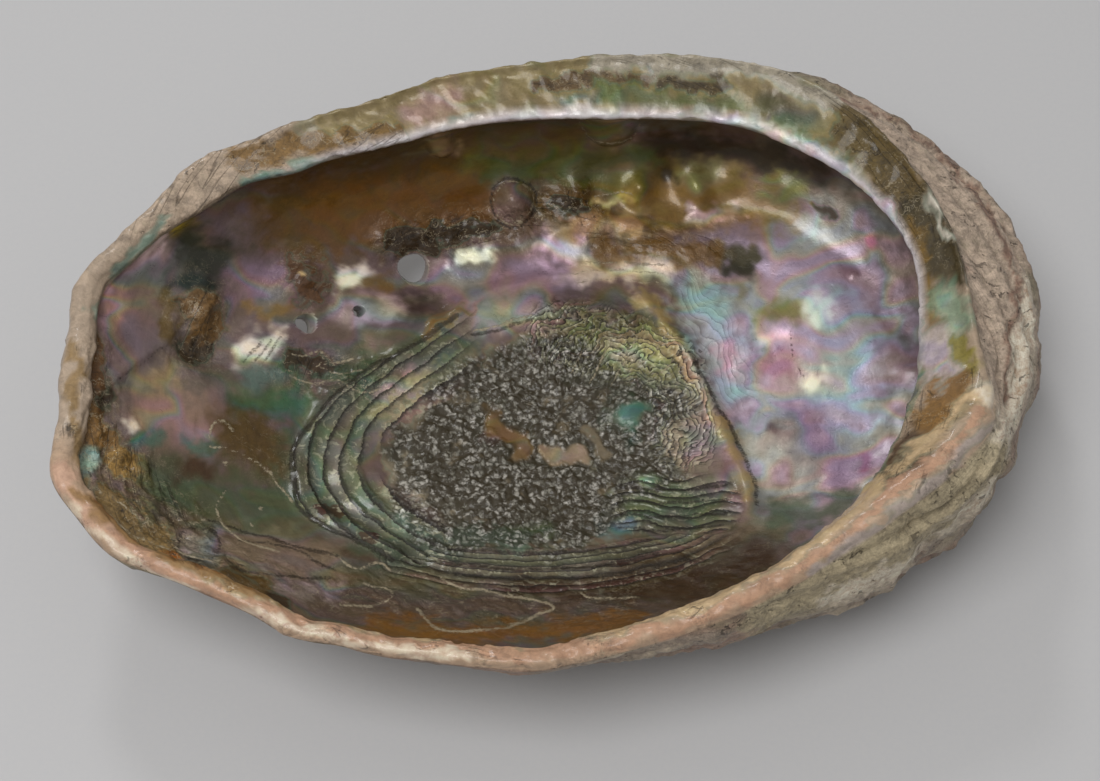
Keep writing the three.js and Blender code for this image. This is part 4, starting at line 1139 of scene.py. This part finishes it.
def shell_material(name, pearly, bump, layers):
    """The shell's one material graph: pearly for nacre, and with more or fewer layers cropping out."""
    g = Graph(name)
    where = g.add("ShaderNodeTexCoord", out=3)
    mm = g.add("ShaderNodeVectorMath", {0: where, "Scale": 1000.0}, operation="SCALE")
    tint = g.attribute("tint", 0)
    crust = tint.node.outputs["Alpha"]
    marks = g.attribute("marks")
    lines = g.attribute("lines")
    flow = g.attribute("flow")
    pearl, grain, bands = g.add("ShaderNodeSeparateXYZ", {0: marks}).node.outputs
    dark, pale, phase = g.add("ShaderNodeSeparateXYZ", {0: lines}).node.outputs
    bend = g.noise(mm, 0.11, 4.0, 0.6, out=1)
    stretched = g.add("ShaderNodeMapping", {"Vector": mm, "Rotation": (0.2, 0.1, 0.5), "Scale": (0.4, 1.0, 1.0)})
    swirl = g.pushed(stretched, bend, 14.0)
    fine = g.noise(mm, 1.6, 5.0, 0.7)
    streaks = g.noise(swirl, 0.5, 6.0, 0.68)
    growth = g.noise(flow, 0.6, 3.0, 0.55)
    # Iridescence: soft bands of hue over the painted tone, with a green fringe where the pearl ends.
    calm = g.pushed(stretched, g.noise(mm, 0.07, 1.0, 0.5, out=1), 16.0)
    hue_at = g.noise(calm, 0.09, 1.5, 0.5)
    hues = g.tree.nodes.new("ShaderNodeValToRGB")
    g.put(hues.inputs[0], g.ramp(hue_at, 0.3, 0.7))
    stops = hues.color_ramp.elements
    while len(stops) < len(HUES):
        stops.new(0.5)
    for k, code in enumerate(HUES):
        stops[k].position = k / (len(HUES) - 1)
        stops[k].color = rgba(code)
    shimmer = g.times(g.ramp(pearl, 0.66, 1.0), 0.46 * pearly)
    colour = g.mix(shimmer, tint, hues.outputs[0], "SOFT_LIGHT")
    colour = g.mix(g.times(shimmer, 0.8), colour, hues.outputs[0], "COLOR")
    fringe = g.math("ABSOLUTE", g.math("SUBTRACT", pearl, 0.42))
    fringe = g.times(g.fade(fringe, 0.02, 0.2), 0.2 * pearly)
    colour = g.mix(fringe, colour, rgba("#4a7462"))
    # Streaks and mottling, stronger on crust.
    depth = g.scaled(crust, 0.55, 0.3)
    tone = g.scaled(g.centred(streaks), g.scaled(pearl, -1.1, 2.1), 0.5)
    tone = g.scaled(g.centred(fine), g.times(crust, 1.4), tone)
    tone = g.scaled(g.centred(growth), 0.5, tone)
    grey = g.add("ShaderNodeCombineColor", {0: tone, 1: tone, 2: tone})
    colour = g.mix(depth, colour, grey, "OVERLAY")
    # Worn edges of flakes on the crust: pale threads that follow the contours of a noise.
    thread = g.math("ABSOLUTE", g.centred(g.noise(swirl, 0.22, 3.0, 0.6)))
    thread = g.times(g.fade(thread, 0.002, 0.012), crust)
    colour = g.mix(g.times(thread, 0.6), colour, rgba(PALE_LINE_TONE))
    # Layers that crop out along the rim, away from the smoothest pearl.
    layer = g.noise(flow, 0.24, 2.0, 0.5)
    rough_share = g.fade(pearl, 0.8, 0.95)
    split = g.math("ABSOLUTE", g.centred(layer))
    split = g.times(g.fade(split, 0.003, 0.014), g.times(g.times(rough_share, g.ramp(crust, 0.25, 0.7)), layers))
    colour = g.mix(g.times(split, 0.55), colour, rgba(DARK_LINE_TONE))
    # Granules: small silvery blobs over dark olive seams; the silver on their tops is partly painted highlight and
    # the dark seams are partly painted shade.
    warped = g.pushed(mm, g.noise(mm, 0.6, 3.0, 0.6, out=1), 2.6)
    blob = g.add("ShaderNodeTexVoronoi", {"Vector": warped, "Scale": 0.76})
    blob = g.fade(g.scaled(g.centred(fine), 0.5, blob), 0.14, 0.6)
    silver = g.mix(g.ramp(g.noise(mm, 0.22, 3.0), 0.35, 0.65), rgba("#77756a"), rgba("#b9b5ac"))
    granules = g.mix(blob, rgba("#2c2619"), silver)
    grain = g.times(grain, g.ramp(g.noise(mm, 0.16, 3.0, 0.6), 0.26, 0.42))
    colour = g.mix(g.times(grain, 0.85), colour, granules)
    # Dark pits and worm holes in the crust.
    pit = g.times(g.ramp(g.noise(swirl, 0.55, 2.0, 0.6), 0.64, 0.7), g.ramp(crust, 0.3, 0.6))
    colour = g.mix(g.times(pit, 0.6), colour, rgba(DARK_LINE_TONE))
    # Nested lines: dark steps with a pale lip, and hues that change from band to band.
    count = g.scaled(g.centred(fine), 0.5, phase)
    step = g.math("FRACT", count)
    number = g.math("FLOOR", count)
    band_hue = g.add("ShaderNodeTexWhiteNoise", {"W": number}, noise_dimensions="1D")
    lift = g.add("ShaderNodeHueSaturation", {"Hue": g.scaled(band_hue, 0.1, 0.45), "Saturation": 0.9,
                                             "Value": g.scaled(step, 1.45, 0.42), "Color": colour})
    colour = g.mix(bands, colour, lift)
    gap = g.fade(step, 0.05, 0.3)
    gap = g.times(gap, g.ramp(streaks, 0.3, 0.55))
    colour = g.mix(g.times(g.times(gap, bands), 0.75), colour, rgba(DARK_LINE_TONE))
    # Painted highlights: pale flecks on the banded zones stand in for glints.
    glint = g.times(g.ramp(g.noise(swirl, 0.7, 2.0), 0.54, 0.66), g.times(step, bands))
    colour = g.mix(g.times(glint, 0.4), colour, rgba("#d8d4b4"))
    # Crisp single lines.
    stray = g.scaled(g.centred(fine), 6.0, g.times(g.math("SUBTRACT", streaks, 0.35), 4.0))
    dark_line = g.fade(g.math("ADD", dark, stray), -0.6, 1.4)
    pale_line = g.fade(g.math("ADD", pale, stray), -0.9, 0.7)
    colour = g.mix(g.times(dark_line, 0.7), colour, rgba(DARK_LINE_TONE))
    colour = g.mix(g.times(pale_line, 0.72), colour, rgba(PALE_LINE_TONE))
    g.put(g.shader.inputs["Base Color"], colour)
    # Gloss.
    dull = g.scaled(pearl, -0.26, 0.56)
    g.put(g.shader.inputs["Roughness"], g.scaled(g.centred(streaks), 0.25, dull))
    g.put(g.shader.inputs["Metallic"], g.times(pearl, 0.22 * pearly))
    g.put(g.shader.inputs["Specular IOR Level"], 0.34)
    g.put(g.shader.inputs["Coat Weight"], 0.3 * pearly)
    g.put(g.shader.inputs["Coat Roughness"], 0.14)
    # Fine relief.
    height = g.times(g.centred(streaks), g.scaled(crust, 0.9, 0.35))
    height = g.scaled(fine, g.times(crust, 0.8), height)
    height = g.scaled(growth, 0.16, height)
    height = g.scaled(g.times(blob, grain), 1.2, height)
    height = g.scaled(g.times(gap, bands), -0.5, height)
    height = g.scaled(split, -0.4, height)
    height = g.scaled(g.math("MAXIMUM", dark_line, pit), -0.5, height)
    height = g.scaled(pale_line, 0.5, height)
    g.relief(bump, 0.0006, height)
    return g.material


floor_piece, wall_piece, outside_piece = build_pieces()
inside_skin = shell_material("nacre", 1.0, 0.55, 0.9)
outside_skin = shell_material("outer_crust", 0.15, 0.9, 0.25)
for piece, skin in ((floor_piece, inside_skin), (wall_piece, inside_skin), (outside_piece, outside_skin)):
    piece.data.materials.append(skin)
    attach(piece, "root")
    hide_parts("shell")


# Floor, light and camera.
def add_floor():
    half = 3.0
    verts = [(-half, -half, 0), (half, -half, 0), (half, half, 0), (-half, half, 0)]
    mesh = make_mesh("floor", verts, range(4), [4])
    g = Graph("table")
    where = g.add("ShaderNodeTexCoord", out=3)
    speck = g.noise(where, 900.0, 3.0)
    g.put(g.shader.inputs["Base Color"], g.mix(speck, rgba("#bdbdbf"), rgba("#c3c2c2")))
    g.put(g.shader.inputs["Roughness"], g.scaled(speck, 0.2, 0.6))
    g.relief(0.1, 0.0002, speck)
    mesh.materials.append(g.material)
    in_scene("floor", mesh)


def add_light(name, size, power, at, target=(0, 0, 0.02)):
    light = bpy.data.lights.new(name, "AREA")
    light.shape, light.size, light.energy = "DISK", size, power
    obj = in_scene(name, light)
    obj.location = at
    aim = np.array(target) - np.array(at)
    tilt = math.atan2(math.hypot(aim[0], aim[1]), -aim[2])
    obj.rotation_euler = (tilt, 0, math.atan2(aim[0], -aim[1]) + math.pi)


def add_camera():
    data = bpy.data.cameras.new("camera")
    data.sensor_width = 36
    data.lens = data.sensor_width * FOCAL_PIXELS / PHOTO_SIZE[0]
    data.shift_x = (PHOTO_SIZE[0] / 2 - ORIGIN_PIXEL[0]) / PHOTO_SIZE[0]
    data.shift_y = (ORIGIN_PIXEL[1] - PHOTO_SIZE[1] / 2) / PHOTO_SIZE[0]
    data.clip_start, data.clip_end = 0.01, 20
    obj = in_scene("camera", data)
    obj.location = (camera_place() + CENTRE_SHIFT) * MM
    obj.rotation_euler = (CAMERA_TILT, 0, 0)
    bpy.context.scene.camera = obj


add_floor()
add_light("overhead", size=0.6, power=6.0, at=(-0.26, -0.26, 1.0))
add_light("window", size=0.2, power=1.7, at=(-0.25, 0.75, 0.9))
add_camera()
world = bpy.data.worlds.new("room")
world.use_nodes = True
world.node_tree.nodes["Background"].inputs["Color"].default_value = (1.0, 0.99, 0.97, 1.0)
world.node_tree.nodes["Background"].inputs["Strength"].default_value = 0.38
bpy.context.scene.world = world
bpy.context.scene.view_settings.view_transform = "Standard"
